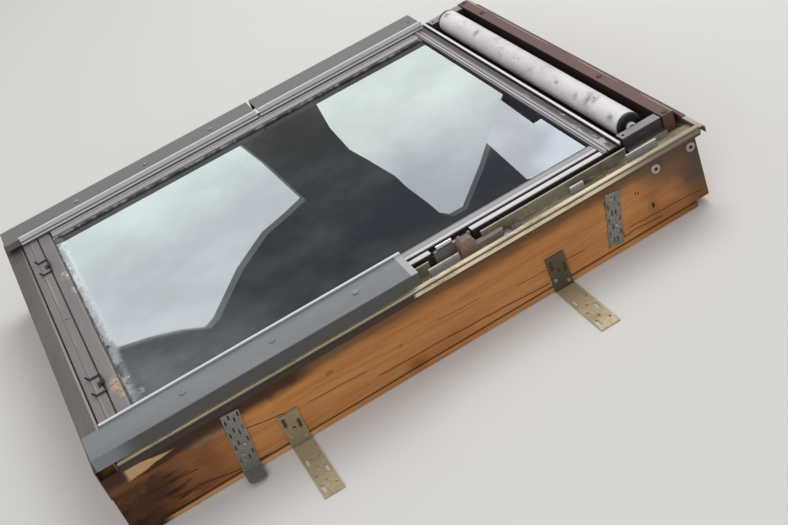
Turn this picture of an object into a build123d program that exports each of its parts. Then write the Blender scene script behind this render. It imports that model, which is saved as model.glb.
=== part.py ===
"""Centre-pivot timber roof skylight with aluminium weather trim and an outside blind roller.

The window lies flat on the room face of its frame. X runs across the window, Y up the slope and
Z outwards through the glass. The origin is the middle of the footprint, on the room face.
All sizes are millimetres. Heights along the slope are first written from the lower end of the
timber frame and then moved to the origin when each piece is finished.
"""
from build123d import *
import math
import os

os.makedirs("parts", exist_ok=True)

# Timber frame
FRAME_WIDTH = 780.0          # over the two edge trims
FRAME_LENGTH = 990.0         # timber, lower end to upper end
JAMB_THICK = 40.0
JAMB_DEPTH = 120.0           # room face to the top of the side members
CROSS_DEPTH = JAMB_DEPTH - 8.0   # room face to the top of head and sill
HEAD_THICK = 93.0
SILL_THICK = 27.0            # above its ledge
SILL_LEDGE = 48.0            # below the sash
LEDGE_TOP = JAMB_DEPTH - 66.0
LINING_GROOVE_Z = 12.0       # groove for the room lining
LINING_GROOVE_WIDTH = 12.0
LINING_GROOVE_DEPTH = 9.0
SCRIBE_Z = 11.0              # V groove along the outer face
SCRIBE_WIDTH = 4.0
END_NOTCH_LENGTH = 23.0      # room-side corner at the upper end of the side members
END_NOTCH_DEPTH = 11.0
TIMBER_EDGE = 2.0            # eased timber edge

# Aluminium trims on the frame
TRIM_WALL = 1.4
FASCIA_WALL = 1.6
FASCIA_BOTTOM = JAMB_DEPTH - 3.5
FASCIA_TOP = JAMB_DEPTH + 6.0
RIDGE_WIDTH = 7.0
RIDGE_TOP = JAMB_DEPTH + 10.0
RIDGE_SETBACK = 3.0          # outer face of the trim to the ridge
WEATHER_RAIL_INSET = 36.0    # outer face of the trim to the inner upstand
WEATHER_RAIL_TOP = JAMB_DEPTH + 21.0
HEAD_OVERHANG = 20.0         # trim beyond the upper end of the timber
HEAD_LINING = 16.0           # flat of the head trim against the end of the timber
CLADDING_WALL = 1.5
CLADDING_APRON_Z = JAMB_DEPTH - 36.0
CLADDING_FRONT_Z = JAMB_DEPTH + 18.5
CLADDING_BACK_Z = JAMB_DEPTH + 20.0
CLADDING_FLANGE_Z = JAMB_DEPTH + 1.6
HEAD_PLATE_WIDTH = 20.0
HEAD_PLATE_BACK = 22.0       # upper end of the timber to the front of the plate
HEAD_PLATE_TOP = JAMB_DEPTH + 30.0
HEAD_PLATE_INSET = 44.0      # half frame width to the end of the plate
HEAD_PLATE_SCREWS = ((-1, 8.0), (-1, 84.0), (1, 193.0), (1, 8.0))   # side, and from the end of the plate
HEAD_PLATE_SCREW_LENGTH = 10.0

# Sash
JAMB_GAP = 2.0               # side members to the sash trim
HEAD_GAP = 5.0
SILL_GAP = 2.0
FLANGE_REACH = 5.4           # sash trim beyond the sash timber
STILE_WIDTH = 49.0
SASH_ROOM_Z = JAMB_DEPTH - 58.0
SASH_DEPTH = 72.0
SASH_END_PLAY = 0.4          # sash timber to the trim at the upper end
SASH_TOE_GAP = 6.0           # sash timber behind the trim at the lower end
TOP_RAIL_SIGHT = 44.5        # sash edge to the timber sight line
BOTTOM_RAIL_SIGHT = 67.5
TOE_CHAMFER = 16.0

# Glass unit
GLASS_Z = JAMB_DEPTH + 20.0  # weather face of the outer pane
PANE = 4.0
CAVITY = 16.0
BEDDING = 2.0
GLASS_BITE = 11.5            # glass under the trim, beyond the daylight line
SIDE_SIGHT = 42.9            # sash trim edge to the daylight line
TOP_SIGHT = 33.0
BOTTOM_SIGHT = 56.0
GLASS_PLAY = 3.0
SPACER_WIDTH = 8.0
EDGE_SEAL = 3.7
GASKET_HEIGHT = 2.5
GASKET_SHOW = 3.5
GASKET_LAND = 5.0

# Aluminium trims on the sash
PROFILE_WALL = 1.4
BEAD_TOP = GLASS_Z + 6.0
BEAD_WIDTH = 23.0
BEAD_SLOPE = 9.0
GROOVE_WIDTH = 7.0
GROOVE_Z = GLASS_Z - 2.5
FLANGE_TOP = GLASS_Z + 5.5
FLANGE_BOTTOM = GLASS_Z - 14.0
TOP_RIB = GLASS_Z + 8.0
TOP_TROUGH = GLASS_Z + 2.0
TOP_FLAT = GLASS_Z + 5.0     # flat between the ribs of the upper trim
TOP_CHANNEL = 3.4            # channel on each side of that flat
INNER_RIB_WIDTH = 6.4
OUTER_RIB_WIDTH = 4.0
SHELF_Z = GLASS_Z + 5.5
SHELF_LINE = 28.0            # lower sash edge to the groove in the lower trim
SHELF_GROOVE = 2.5
SHELF_GROOVE_Z = GLASS_Z + 3.2
SHELF_SCREW = (-15.0, 21.5)  # across, and from the lower sash edge

# Side covers
COVER_WALL = 1.2
COVER_TOP = JAMB_DEPTH + 40.0
COVER_FLANGE_Z = JAMB_DEPTH + 19.0
COVER_GAP = 1.6              # frame trim to the cover flange
COVER_LIP = 4.0
COVER_LIP_WIDTH = 4.0
COVER_LIP_INSET = 17.8       # sash trim edge to the lip
COVER_TOE = 4.0              # lower end of the frame to the cover
COVER_PAST_MIDDLE = 57.75    # middle of the sash to the upper end of the lower covers
COVER_JOINT_GAP = 6.0
UPPER_COVER_BACK = 12.0      # upper sash edge to the end of the upper cover
UPPER_COVER_CLEAR = 1.6      # upper cover above the sash trim
COVER_END_CLEAR = 2.0        # end plates above the sash trim
COVER_SCREW_INSET = 30.0     # half frame width to the screw line
COVER_FIRST_SCREW = 154.0    # lower end of the frame to the first screw
COVER_SCREW_BACK = (223.0, 87.0)             # upper end of the lower cover to the other screws
COVER_SCREW_HEAD = 4.5
COVER_SCREW_SHANK = 2.0
SASH_SCREW_LENGTH = 9.0
SCREW_PLAY = 0.3
CLIP_WIDTH = 16.0
CLIP_ARM_Z = JAMB_DEPTH + 32.0

# Fixing clips of the upper covers
FIRST_CLIP_START = 18.0      # up the slope from the pivot axis
FIRST_CLIP_GAP = 3.0         # clip to the hinge base
OTHER_CLIPS = ((206.0, 183.0), (106.0, 52.0))  # start and end, from the upper end of the timber
CLIP_INSET = 23.0            # outer face of the trim to the clip
CLIP_THICK = 3.0
CLIP_TOP = JAMB_DEPTH + 17.0

# Pivot hinges: a ring segment on the sash runs in a half-round track in the side member
RING_RADIUS = 92.0
RING_WIDTH = 12.0
RING_PLAY = 0.3
RING_FROM = -60.0            # degrees from the up-slope direction, seen with the slope to the right
RING_TO = -15.0
TRACK_FROM = -170.0
TRACK_TO = -8.0
TRACK_WALL = 3.6
TRACK_BACK = 1.0
TRACK_DEPTH = 5.4
HINGE_PLATE = 4.0
LEAF_LOW = 40.0              # leaf, along the slope from the pivot axis
LEAF_HIGH = 102.0
LEAF_TOP = 23.0              # leaf, below the pivot axis
LEAF_BOTTOM = 90.0
LEAF_SCREWS = ((50.0, -44.0), (68.0, -38.0), (92.0, -82.0))
LEAF_SCREW_HEAD = 4.2
LEAF_SCREW_LENGTH = 24.0
SPRING_START = 47.0          # along the slope from the pivot axis
SPRING_LENGTH = 26.0
HOUSING_ANGLE = 19.0
HOUSING_GAP = 0.6            # side member to the housing
HOUSING_WIDTH = 19.0
HOUSING_HALF = 13.0
HOUSING_TOP = JAMB_DEPTH + 29.0
BASE_THICK = 2.6
BASE_LOW = 15.0
BASE_HIGH = 68.0
BASE_WIDTH = 22.0
ARM_WIDTH = 11.0
ARM_TOP = JAMB_DEPTH + 13.0
HINGE_NOTCH = 4.0            # clear length past the leaf in the sash trim
RAIL_NOTCH = (26.0, 115.0)   # gap in the inner upstand, from the pivot axis

# Room side of the sash
LUG_THICK = 5.0
LUG_BACK = 16.0              # upper sash edge to the flap axis
LUG_HALF = 9.0
LUG_DROP = 6.0               # sash face to the flap axis
FLAP_END_ROOM = 9.0          # stile to the end of the flap
FLAP_WIDTH = 66.0
FLAP_THICK = 9.0
FLAP_BARREL = 4.0
FLAP_PIN = 3.0
PIN_PLAY = 0.08
BAR_DROP = 20.0
BAR_WIDTH = 13.0
BAR_WALL = 2.0
BAR_CAP = 3.0
LOCK_HALF = 45.0
LOCK_Z = SASH_ROOM_Z + 8.0
LOCK_HEIGHT = 26.0
LOCK_REACH = 27.0
TONGUE_HALF = 12.0
TONGUE_THICK = 8.0
TONGUE_LENGTH = 22.0
TONGUE_SET_BACK = 0.6
TONGUE_PLAY = 0.1
STRIKE_PLATE = 2.0
STRIKE_MARGIN = 6.0
STRIKE_POCKET = 14.0
STRIKE_PLAY = 2.0

# Blind roller
ROLL_BACK = 32.0             # inner face of the head to the roller axis
ROLL_Z = JAMB_DEPTH + 23.0
ROLL_RADIUS = 22.0
TUBE_RADIUS = 9.0
ROLL_CAP = 6.0
ROLL_CAP_RADIUS = 21.0
BUSH_LENGTH = 5.0
BUSH_RADIUS = 8.0
AXLE_RADIUS = 3.0
AXLE_REACH = 14.0
BRACKET_GAP = 3.0
BRACKET_WIDTH = 18.0
BRACKET_WALL = 2.0
BRACKET_SIDE_GAP = 5.4       # side member to the bracket
BRACKET_TOP = JAMB_DEPTH + 28.0
BRACKET_SEAT = JAMB_DEPTH + 10.0
BRACKET_START = 1.0          # behind the inner face of the head
BRACKET_LENGTH = 69.0
BRACKET_HOLE = 2.6

# Blind hooks on the lower sash trim
HOOK_X = 211.0
HOOK_HALF = 24.0
HOOK_WIRE = 1.5
HOOK_REACH = 21.0
HOOK_RISE = 7.0
HOOK_LINE = 31.0             # lower sash edge to the wire

# Fixing straps outside the side members
STRAP_THICK = 2.0
STRAP_Y = 190.0
STRAP_WIDTH = 28.0
STRAP_LOW = 6.0
STRAP_DROP = 4.5             # bottom of the fascia to the top of the strap
STRAP_TILT = -5.0            # degrees, from upright
STRAP_TOE = 34.0             # foot bent outwards
STRAP_CORNER = 9.0
STRAP_SLOT_LENGTH = 9.0
STRAP_SLOT_WIDTH = 2.6
STRAP_SLOT_PITCH = 23.0
STRAP_SLOT_PHASES = (13.5, 6.5, 13.5, 6.5)   # first slot of each column, from the top
UPPER_STRAP_BACK = 162.0     # upper end of the timber to the middle of the strap
UPPER_STRAP_WIDTH = 25.0
UPPER_STRAP_DROP = 8.5       # bottom of the fascia to the top of the strap
UPPER_STRAP_LOW = 18.0
UPPER_STRAP_TILT = -11.0
UPPER_SLOT_PHASES = (22.5, 11.0, 11.0, 22.5)
ANGLE_THICK = 2.5
ANGLE_WIDTH = 32.0
ANGLE_LEG = 62.0
ANGLE_FOOT = 131.6
LOWER_ANGLE_Y = 265.0
UPPER_ANGLE_BACK = 271.0     # upper end of the timber to the middle of the bracket
ANGLE_SLOT_LENGTH = 17.0
ANGLE_SLOT_WIDTH = 5.0
ANGLE_COLUMN = 10.0          # middle of the bracket to the outer columns
FOOT_SLOTS = ((-1, 48.0), (-1, 114.0), (1, 78.0))          # column and distance from the timber
FOOT_HOLES = ((-1, 13.0), (-1, 84.0), (0, 67.0), (0, 100.0), (1, 47.0), (1, 114.0))
LEG_SLOTS = ((-1, 48.0), (1, 36.0))                        # column and height
LEG_HOLES = ((0, 34.0),)
LEG_NAILS = ((-1, 20.0), (1, 9.0))
ANGLE_HOLE = 2.3
NAIL_HEAD = 3.2
NAIL_RISE = 1.4
NAIL_SHANK = 1.1
NAIL_LENGTH = 24.0
WASHER_RADIUS = 8.0
WASHER_THICK = 1.6
WASHER_BORE = 3.0
WASHER_AT = ((75.0, 17.0), (11.0, 14.5))     # from the upper end and from the top of the timber

# Places that follow from the sizes above
HALF = FRAME_WIDTH / 2
JAMB_OUT = HALF - FASCIA_WALL
JAMB_IN = JAMB_OUT - JAMB_THICK
HEAD_IN = FRAME_LENGTH - HEAD_THICK
SASH_OUT = JAMB_IN - JAMB_GAP
SASH_TOP = HEAD_IN - HEAD_GAP
SASH_TOE = SILL_THICK + CLADDING_WALL + SILL_GAP
STILE_OUT = SASH_OUT - FLANGE_REACH
STILE_IN = STILE_OUT - STILE_WIDTH
SASH_FACE = SASH_ROOM_Z + SASH_DEPTH
TIMBER_TOP = SASH_TOP - PROFILE_WALL - SASH_END_PLAY
TIMBER_TOE = SASH_TOE + SASH_TOE_GAP
SIGHT_X = SASH_OUT - SIDE_SIGHT
SIGHT_TOP = SASH_TOP - TOP_SIGHT
SIGHT_TOE = SASH_TOE + BOTTOM_SIGHT
GLASS_X = SIGHT_X + GLASS_BITE
GLASS_TOP = SIGHT_TOP + GLASS_BITE
GLASS_TOE = SIGHT_TOE - GLASS_BITE
UNIT_Z = GLASS_Z - 2 * PANE - CAVITY
GASKET_TOP = GLASS_Z + GASKET_HEIGHT
TRIM_END = FRAME_LENGTH + HEAD_OVERHANG
CORNER_Y = TRIM_END - RIDGE_SETBACK - RIDGE_WIDTH
MIDDLE = (TRIM_END - CLADDING_WALL) / 2
PLATE_Y = FRAME_LENGTH - HEAD_PLATE_BACK
PLATE_END = HALF - HEAD_PLATE_INSET
PLATE_SCREW_X = [side * (PLATE_END - inset) for side, inset in HEAD_PLATE_SCREWS]
COVER_JOINT = (SASH_TOE + SASH_TOP) / 2 + COVER_PAST_MIDDLE
UPPER_COVER_END = SASH_TOP - UPPER_COVER_BACK
COVER_SCREW_Y = [COVER_FIRST_SCREW] + [COVER_JOINT - back for back in COVER_SCREW_BACK]
COVER_OUT = HALF + COVER_GAP + COVER_WALL
LIP_X = SASH_OUT - COVER_LIP_INSET
SCREW_X = HALF - COVER_SCREW_INSET
CLIP_X = HALF - CLIP_INSET
TRIM_FLOOR = JAMB_DEPTH + TRIM_WALL
RAIL_X = HALF - WEATHER_RAIL_INSET
PIVOT_Y = COVER_JOINT + COVER_JOINT_GAP / 2
PIVOT_Z = COVER_TOP + COVER_LIP
HOUSING_Y = PIVOT_Y + RING_RADIUS * math.cos(math.radians(HOUSING_ANGLE))
HOUSING_IN = JAMB_IN + HOUSING_GAP
HOUSING_OUT = HOUSING_IN + HOUSING_WIDTH
LEAF_FACE = STILE_OUT + HINGE_PLATE
NOTCH_LOW = PIVOT_Y + LEAF_LOW - HINGE_NOTCH
NOTCH_HIGH = PIVOT_Y + LEAF_HIGH + HINGE_NOTCH
CLIP_RUNS = [(PIVOT_Y + FIRST_CLIP_START, HOUSING_Y - BASE_LOW - FIRST_CLIP_GAP)]
CLIP_RUNS += [(FRAME_LENGTH - start, FRAME_LENGTH - end) for start, end in OTHER_CLIPS]
BRACKET_IN = JAMB_IN - BRACKET_SIDE_GAP - BRACKET_WIDTH
BRACKET_Y = HEAD_IN + BRACKET_START
BUSH_END = BRACKET_IN - BRACKET_GAP
CAP_END = BUSH_END - BUSH_LENGTH
ROLL_HALF = CAP_END - ROLL_CAP
ROLL_Y = HEAD_IN + ROLL_BACK
LUG_Y = SASH_TOP - LUG_BACK
FLAP_HALF = STILE_IN - FLAP_END_ROOM
STRAP_LENGTH = FASCIA_BOTTOM - STRAP_DROP - STRAP_LOW
UPPER_STRAP_LENGTH = FASCIA_BOTTOM - UPPER_STRAP_DROP - UPPER_STRAP_LOW
ANGLE_Y = (LOWER_ANGLE_Y, FRAME_LENGTH - UPPER_ANGLE_BACK)
WASHERS = [(FRAME_LENGTH - back, JAMB_DEPTH - down) for back, down in WASHER_AT]


def block(x0, x1, y0, y1, z0, z1):
    """Box between the given planes."""
    return Pos((x0 + x1) / 2, (y0 + y1) / 2, (z0 + z1) / 2) * Box(x1 - x0, y1 - y0, z1 - z0)


def run_y(outline, y0, y1):
    """Profile of (x, z) points, drawn out along the slope."""
    plane = Plane(origin=(0, y1, 0), x_dir=(1, 0, 0), z_dir=(0, -1, 0))
    return extrude(plane * make_face(Polyline(*outline, close=True)), y1 - y0)


def run_x(outline, x0, x1):
    """Profile of (y, z) points, drawn out across the window."""
    plane = Plane(origin=(x0, 0, 0), x_dir=(0, 1, 0), z_dir=(1, 0, 0))
    return extrude(plane * make_face(Polyline(*outline, close=True)), x1 - x0)


def folded(path, wall):
    """Outline of a sheet of the given wall, folded along a path; the wall lies right of it."""
    def normal(a, b):
        length = math.hypot(b[0] - a[0], b[1] - a[1])
        return (b[1] - a[1]) / length, -(b[0] - a[0]) / length
    sides = [normal(a, b) for a, b in zip(path, path[1:])]
    inner = []
    for i, (px, pz) in enumerate(path):
        before = sides[max(i - 1, 0)]
        after = sides[min(i, len(sides) - 1)]
        scale = wall / (1 + before[0] * after[0] + before[1] * after[1])
        inner.append((px + (before[0] + after[0]) * scale, pz + (before[1] + after[1]) * scale))
    return list(path) + inner[::-1]


def rod_x(radius, x0, x1, y, z):
    """Round bar across the window."""
    plane = Plane(origin=(x0, y, z), x_dir=(0, 1, 0), z_dir=(1, 0, 0))
    return extrude(plane * Circle(radius), x1 - x0)


def rod_z(radius, x, y, z0, z1):
    """Round bar standing on the window plane."""
    return Pos(x, y, (z0 + z1) / 2) * Cylinder(radius, z1 - z0)


def ring(x_out, y_low, y_high, width, z0, z1):
    """Rectangular ring around the glass."""
    outer = block(-x_out, x_out, y_low, y_high, z0, z1)
    return outer - block(-x_out + width, x_out - width, y_low + width, y_high - width, z0 - 1, z1 + 1)


def joined(pieces):
    """One solid from touching pieces."""
    result = pieces[0]
    for piece in pieces[1:]:
        result = result + piece
    return result


def flip(shape):
    """The same piece on the other side of the window."""
    return mirror(shape, about=Plane.YZ)


def save(name, *solids):
    """Moves the solids to the origin of the window and writes the node."""
    moved = [Pos(0, -MIDDLE, 0) * solid for solid in solids]
    shape = moved[0] if len(moved) == 1 else Compound(children=moved)
    export_step(shape, f"parts/{name}.step")


# Straps and their nails, as (slope, height) on the outer face of a side member
class Strap:
    """Perforated strap, tilted on the side member."""

    def __init__(self, middle, low, length, width, tilt, phases, nails):
        self.middle, self.low, self.length, self.width = middle, low, length, width
        self.turn, self.phases, self.nails = math.radians(tilt), phases, nails

    def point(self, column, row):
        """Middle of one slot."""
        across = (column - 1.5) * self.width / 4
        along = self.length / 2 - self.phases[column] - row * STRAP_SLOT_PITCH
        y = self.middle - math.sin(self.turn) * along + math.cos(self.turn) * across
        z = self.low + self.length / 2 + math.cos(self.turn) * along + math.sin(self.turn) * across
        return y, z

    def slots(self):
        """Every slot that keeps clear of the lower end."""
        room = self.length - STRAP_SLOT_LENGTH
        return [self.point(column, row) for column in range(4) for row in range(12)
                if self.phases[column] + row * STRAP_SLOT_PITCH < room]

    def nail_points(self):
        return [self.point(column, row) for column, row in self.nails]


# The last value names the slots with a nail, by column and row
LOWER_STRAP = Strap(STRAP_Y, STRAP_LOW, STRAP_LENGTH, STRAP_WIDTH, STRAP_TILT, STRAP_SLOT_PHASES,
                    ((2, 2), (1, 3)))
UPPER_STRAP = Strap(FRAME_LENGTH - UPPER_STRAP_BACK, UPPER_STRAP_LOW, UPPER_STRAP_LENGTH, UPPER_STRAP_WIDTH,
                    UPPER_STRAP_TILT, UPPER_SLOT_PHASES, ((1, 0), (2, 2)))


def side_nails():
    """Every nail in the outer face, as (slope, height, face it is driven against)."""
    nails = [(y, z, STRAP_THICK) for y, z in LOWER_STRAP.nail_points() + UPPER_STRAP.nail_points()]
    return nails + [(y + column * ANGLE_COLUMN, up, ANGLE_THICK) for y in ANGLE_Y for column, up in LEG_NAILS]


# Frame timber
def make_jamb():
    scribe = SCRIBE_WIDTH / 2
    outline = [
        (JAMB_IN, 0), (JAMB_OUT, 0), (JAMB_OUT, SCRIBE_Z - scribe),
        (JAMB_OUT - scribe, SCRIBE_Z), (JAMB_OUT, SCRIBE_Z + scribe), (JAMB_OUT, JAMB_DEPTH),
        (JAMB_IN, JAMB_DEPTH), (JAMB_IN, LINING_GROOVE_Z + LINING_GROOVE_WIDTH),
        (JAMB_IN + LINING_GROOVE_DEPTH, LINING_GROOVE_Z + LINING_GROOVE_WIDTH),
        (JAMB_IN + LINING_GROOVE_DEPTH, LINING_GROOVE_Z), (JAMB_IN, LINING_GROOVE_Z),
    ]
    jamb = run_y(outline, 0, FRAME_LENGTH)
    edges = jamb.edges().filter_by(Axis.Y).group_by(Axis.Z)
    jamb = chamfer(edges[0], TIMBER_EDGE)
    jamb -= block(JAMB_IN - 1, JAMB_OUT + 1, FRAME_LENGTH - END_NOTCH_LENGTH, FRAME_LENGTH + 1,
                  -1, END_NOTCH_DEPTH)
    for y, z, face in side_nails():
        jamb -= rod_x(NAIL_SHANK + SCREW_PLAY, JAMB_OUT - NAIL_LENGTH - 1, JAMB_OUT + 1, y, z)
    for y, z in WASHERS:
        jamb -= rod_x(WASHER_BORE, JAMB_OUT - NAIL_LENGTH, JAMB_OUT + 1, y, z)
    for y in base_screws():
        jamb -= rod_z(COVER_SCREW_SHANK + SCREW_PLAY, base_screw_x(), y,
                      JAMB_DEPTH - LEAF_SCREW_LENGTH, JAMB_DEPTH + 1)
    track = RING_WIDTH + 2 * RING_PLAY + 2 * TRACK_WALL
    jamb -= arc_band(RING_RADIUS, track + 0.4, TRACK_FROM - 2, TRACK_TO + 2, JAMB_IN - 1,
                     JAMB_IN + TRACK_DEPTH + 0.1)
    return jamb


def make_head():
    groove = LINING_GROOVE_Z + LINING_GROOVE_WIDTH
    outline = [
        (HEAD_IN, 0), (HEAD_IN, LINING_GROOVE_Z), (HEAD_IN + LINING_GROOVE_DEPTH, LINING_GROOVE_Z),
        (HEAD_IN + LINING_GROOVE_DEPTH, groove), (HEAD_IN, groove),
        (HEAD_IN, CROSS_DEPTH), (FRAME_LENGTH, CROSS_DEPTH), (FRAME_LENGTH, 0),
    ]
    head = run_x(outline, -JAMB_IN, JAMB_IN)
    strike = TONGUE_HALF + STRIKE_PLAY + STRIKE_MARGIN
    tall = TONGUE_THICK / 2 + STRIKE_PLAY + STRIKE_MARGIN
    middle = LOCK_Z + LOCK_HEIGHT / 2
    head -= block(-strike, strike, HEAD_IN - 1, HEAD_IN + STRIKE_PLATE, middle - tall, middle + tall)
    pocket = TONGUE_HALF + STRIKE_PLAY
    half = TONGUE_THICK / 2 + STRIKE_PLAY
    head -= block(-pocket, pocket, HEAD_IN, HEAD_IN + STRIKE_POCKET, middle - half, middle + half)
    return head


def make_sill():
    groove = LINING_GROOVE_Z + LINING_GROOVE_WIDTH
    outline = [
        (0, 0), (SILL_LEDGE, 0), (SILL_LEDGE, LINING_GROOVE_Z),
        (SILL_LEDGE - LINING_GROOVE_DEPTH, LINING_GROOVE_Z), (SILL_LEDGE - LINING_GROOVE_DEPTH, groove),
        (SILL_LEDGE, groove), (SILL_LEDGE, LEDGE_TOP), (SILL_THICK, LEDGE_TOP),
        (SILL_THICK, CROSS_DEPTH), (0, CROSS_DEPTH),
    ]
    return run_x(outline, -JAMB_IN, JAMB_IN)


# Frame trims
def trim_outline(inner, outer, rail):
    """Edge trim section from its inner edge to its outer face."""
    ridge = outer - RIDGE_SETBACK
    start = ridge - RIDGE_WIDTH
    wall = TRIM_WALL
    upstand = [(inner, WEATHER_RAIL_TOP), (inner + wall, WEATHER_RAIL_TOP), (inner + wall, TRIM_FLOOR)]
    floor = [(inner, TRIM_FLOOR)]
    return [(inner, JAMB_DEPTH)] + (upstand if rail else floor) + [
        (start, TRIM_FLOOR), (start, RIDGE_TOP), (ridge, RIDGE_TOP), (ridge, TRIM_FLOOR),
        (outer - FASCIA_WALL, TRIM_FLOOR), (outer - FASCIA_WALL, FASCIA_TOP), (outer, FASCIA_TOP),
        (outer, FASCIA_BOTTOM), (outer - FASCIA_WALL, FASCIA_BOTTOM), (outer - FASCIA_WALL, JAMB_DEPTH),
        (ridge - wall, JAMB_DEPTH), (ridge - wall, RIDGE_TOP - wall),
        (start + wall, RIDGE_TOP - wall), (start + wall, JAMB_DEPTH),
    ]


def make_edge_trim():
    """Trim along a side member, with the shelf that carries the blind bracket."""
    trim = run_y(trim_outline(RAIL_X, HALF, True), SASH_TOE - 0.5, CORNER_Y)
    notch_low = PIVOT_Y + RAIL_NOTCH[0]
    notch_high = PIVOT_Y + RAIL_NOTCH[1]
    trim -= block(RAIL_X - 1, RAIL_X + TRIM_WALL, notch_low, notch_high, TRIM_FLOOR, WEATHER_RAIL_TOP + 1)
    trim -= block(RAIL_X - 1, RAIL_X + TRIM_WALL, HEAD_IN - HEAD_GAP, CORNER_Y + 1,
                  TRIM_FLOOR, WEATHER_RAIL_TOP + 1)
    for y in base_screws():
        trim -= rod_z(COVER_SCREW_SHANK + SCREW_PLAY, base_screw_x(), y, JAMB_DEPTH - 1, TRIM_FLOOR + 1)
    shelf_out = RAIL_X + TRIM_WALL
    shelf = [(BRACKET_IN, CROSS_DEPTH), (BRACKET_IN, BRACKET_SEAT), (shelf_out, BRACKET_SEAT),
             (shelf_out, TRIM_FLOOR - TRIM_WALL / 2)]
    return trim + run_y(folded(shelf, TRIM_WALL), BRACKET_Y, PLATE_Y - BRACKET_START)


def make_head_trim():
    trim = run_x(trim_outline(FRAME_LENGTH, TRIM_END, False), -HALF, HALF)
    side = RAIL_X - 0.1
    for low, high in ((-HALF - 1, -side), (side, HALF + 1)):
        trim -= block(low, high, FRAME_LENGTH - 1, CORNER_Y, FASCIA_BOTTOM - 1, RIDGE_TOP + 1)
    backing = block(-side, side, FRAME_LENGTH, FRAME_LENGTH + TRIM_WALL, CROSS_DEPTH - HEAD_LINING,
                    JAMB_DEPTH)
    return trim + backing


def make_sill_cladding():
    back = SILL_THICK + CLADDING_WALL
    path = [(-CLADDING_WALL, CLADDING_APRON_Z), (-CLADDING_WALL, CLADDING_FRONT_Z),
            (back, CLADDING_BACK_Z), (back, CLADDING_FLANGE_Z)]
    sheet = run_x(folded(path, CLADDING_WALL), -HALF + 0.5, HALF - 0.5)
    brow = sheet.edges().filter_by(Axis.X).group_by(Axis.Y)[0].sort_by(Axis.Z)[-1]
    return fillet(brow, CLADDING_WALL * 0.9)


def plate_screw_y():
    return PLATE_Y + HEAD_PLATE_WIDTH / 2


def make_head_plate():
    """Raised plate along the head with closed ends."""
    back = PLATE_Y + HEAD_PLATE_WIDTH
    path = [(PLATE_Y, CROSS_DEPTH), (PLATE_Y, HEAD_PLATE_TOP), (back, HEAD_PLATE_TOP),
            (CORNER_Y, RIDGE_TOP + CLADDING_WALL), (CORNER_Y + RIDGE_WIDTH, RIDGE_TOP + CLADDING_WALL)]
    end = PLATE_END
    plate = run_x(folded(path, CLADDING_WALL), -end, end)
    for x0, x1 in ((-end, -end + CLADDING_WALL), (end - CLADDING_WALL, end)):
        plate += block(x0, x1, PLATE_Y, back, CROSS_DEPTH, HEAD_PLATE_TOP - CLADDING_WALL / 2)
    for x in PLATE_SCREW_X:
        plate -= rod_z(COVER_SCREW_SHANK + SCREW_PLAY, x, plate_screw_y(), HEAD_PLATE_TOP - 4,
                       HEAD_PLATE_TOP + 1)
    return plate


def pan_screw_z(x, y, seat, bottom):
    """Pan-head screw with a cross slot, its head on the given face."""
    head = rod_z(COVER_SCREW_HEAD, x, y, seat, seat + 2.2)
    head = chamfer(head.edges().group_by(Axis.Z)[-1], 0.8)
    head -= block(x - 2.6, x + 2.6, y - 0.5, y + 0.5, seat + 1.4, seat + 3)
    head -= block(x - 0.5, x + 0.5, y - 2.6, y + 2.6, seat + 1.4, seat + 3)
    return head + rod_z(COVER_SCREW_SHANK, x, y, bottom, seat)


# Sash timber
def make_stile():
    stile = block(STILE_IN, STILE_OUT, TIMBER_TOE, TIMBER_TOP, SASH_ROOM_Z, SASH_FACE)
    rebate = GLASS_X + GLASS_PLAY
    stile -= block(STILE_IN - 1, rebate, GLASS_TOE - GLASS_PLAY, GLASS_TOP + GLASS_PLAY,
                   UNIT_Z - BEDDING, SASH_FACE + 1)
    toe = stile.edges().filter_by(Axis.X).group_by(Axis.Z)[0].sort_by(Axis.Y)[0]
    stile = chamfer(toe, TOE_CHAMFER)
    for y, z in leaf_screws():
        stile -= rod_x(COVER_SCREW_SHANK + SCREW_PLAY, LEAF_FACE - LEAF_SCREW_LENGTH - 2, STILE_OUT + 1, y, z)
    return stile


def make_top_rail():
    sight = SASH_TOP - TOP_RAIL_SIGHT
    seat = UNIT_Z - BEDDING
    rebate = GLASS_TOP + GLASS_PLAY
    outline = [(sight, SASH_ROOM_Z), (sight, seat), (rebate, seat), (rebate, SASH_FACE),
               (TIMBER_TOP, SASH_FACE), (TIMBER_TOP, SASH_ROOM_Z)]
    rail = run_x(outline, -STILE_IN, STILE_IN)
    return rail - block(-LOCK_HALF, LOCK_HALF, TIMBER_TOP - LOCK_REACH, TIMBER_TOP + 1,
                        LOCK_Z, LOCK_Z + LOCK_HEIGHT)


def make_bottom_rail():
    sight = SASH_TOE + BOTTOM_RAIL_SIGHT
    seat = UNIT_Z - BEDDING
    rebate = GLASS_TOE - GLASS_PLAY
    outline = [(TIMBER_TOE + TOE_CHAMFER, SASH_ROOM_Z), (sight, SASH_ROOM_Z), (sight, seat), (rebate, seat),
               (rebate, SASH_FACE), (TIMBER_TOE, SASH_FACE), (TIMBER_TOE, SASH_ROOM_Z + TOE_CHAMFER)]
    return run_x(outline, -STILE_IN, STILE_IN)


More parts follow.
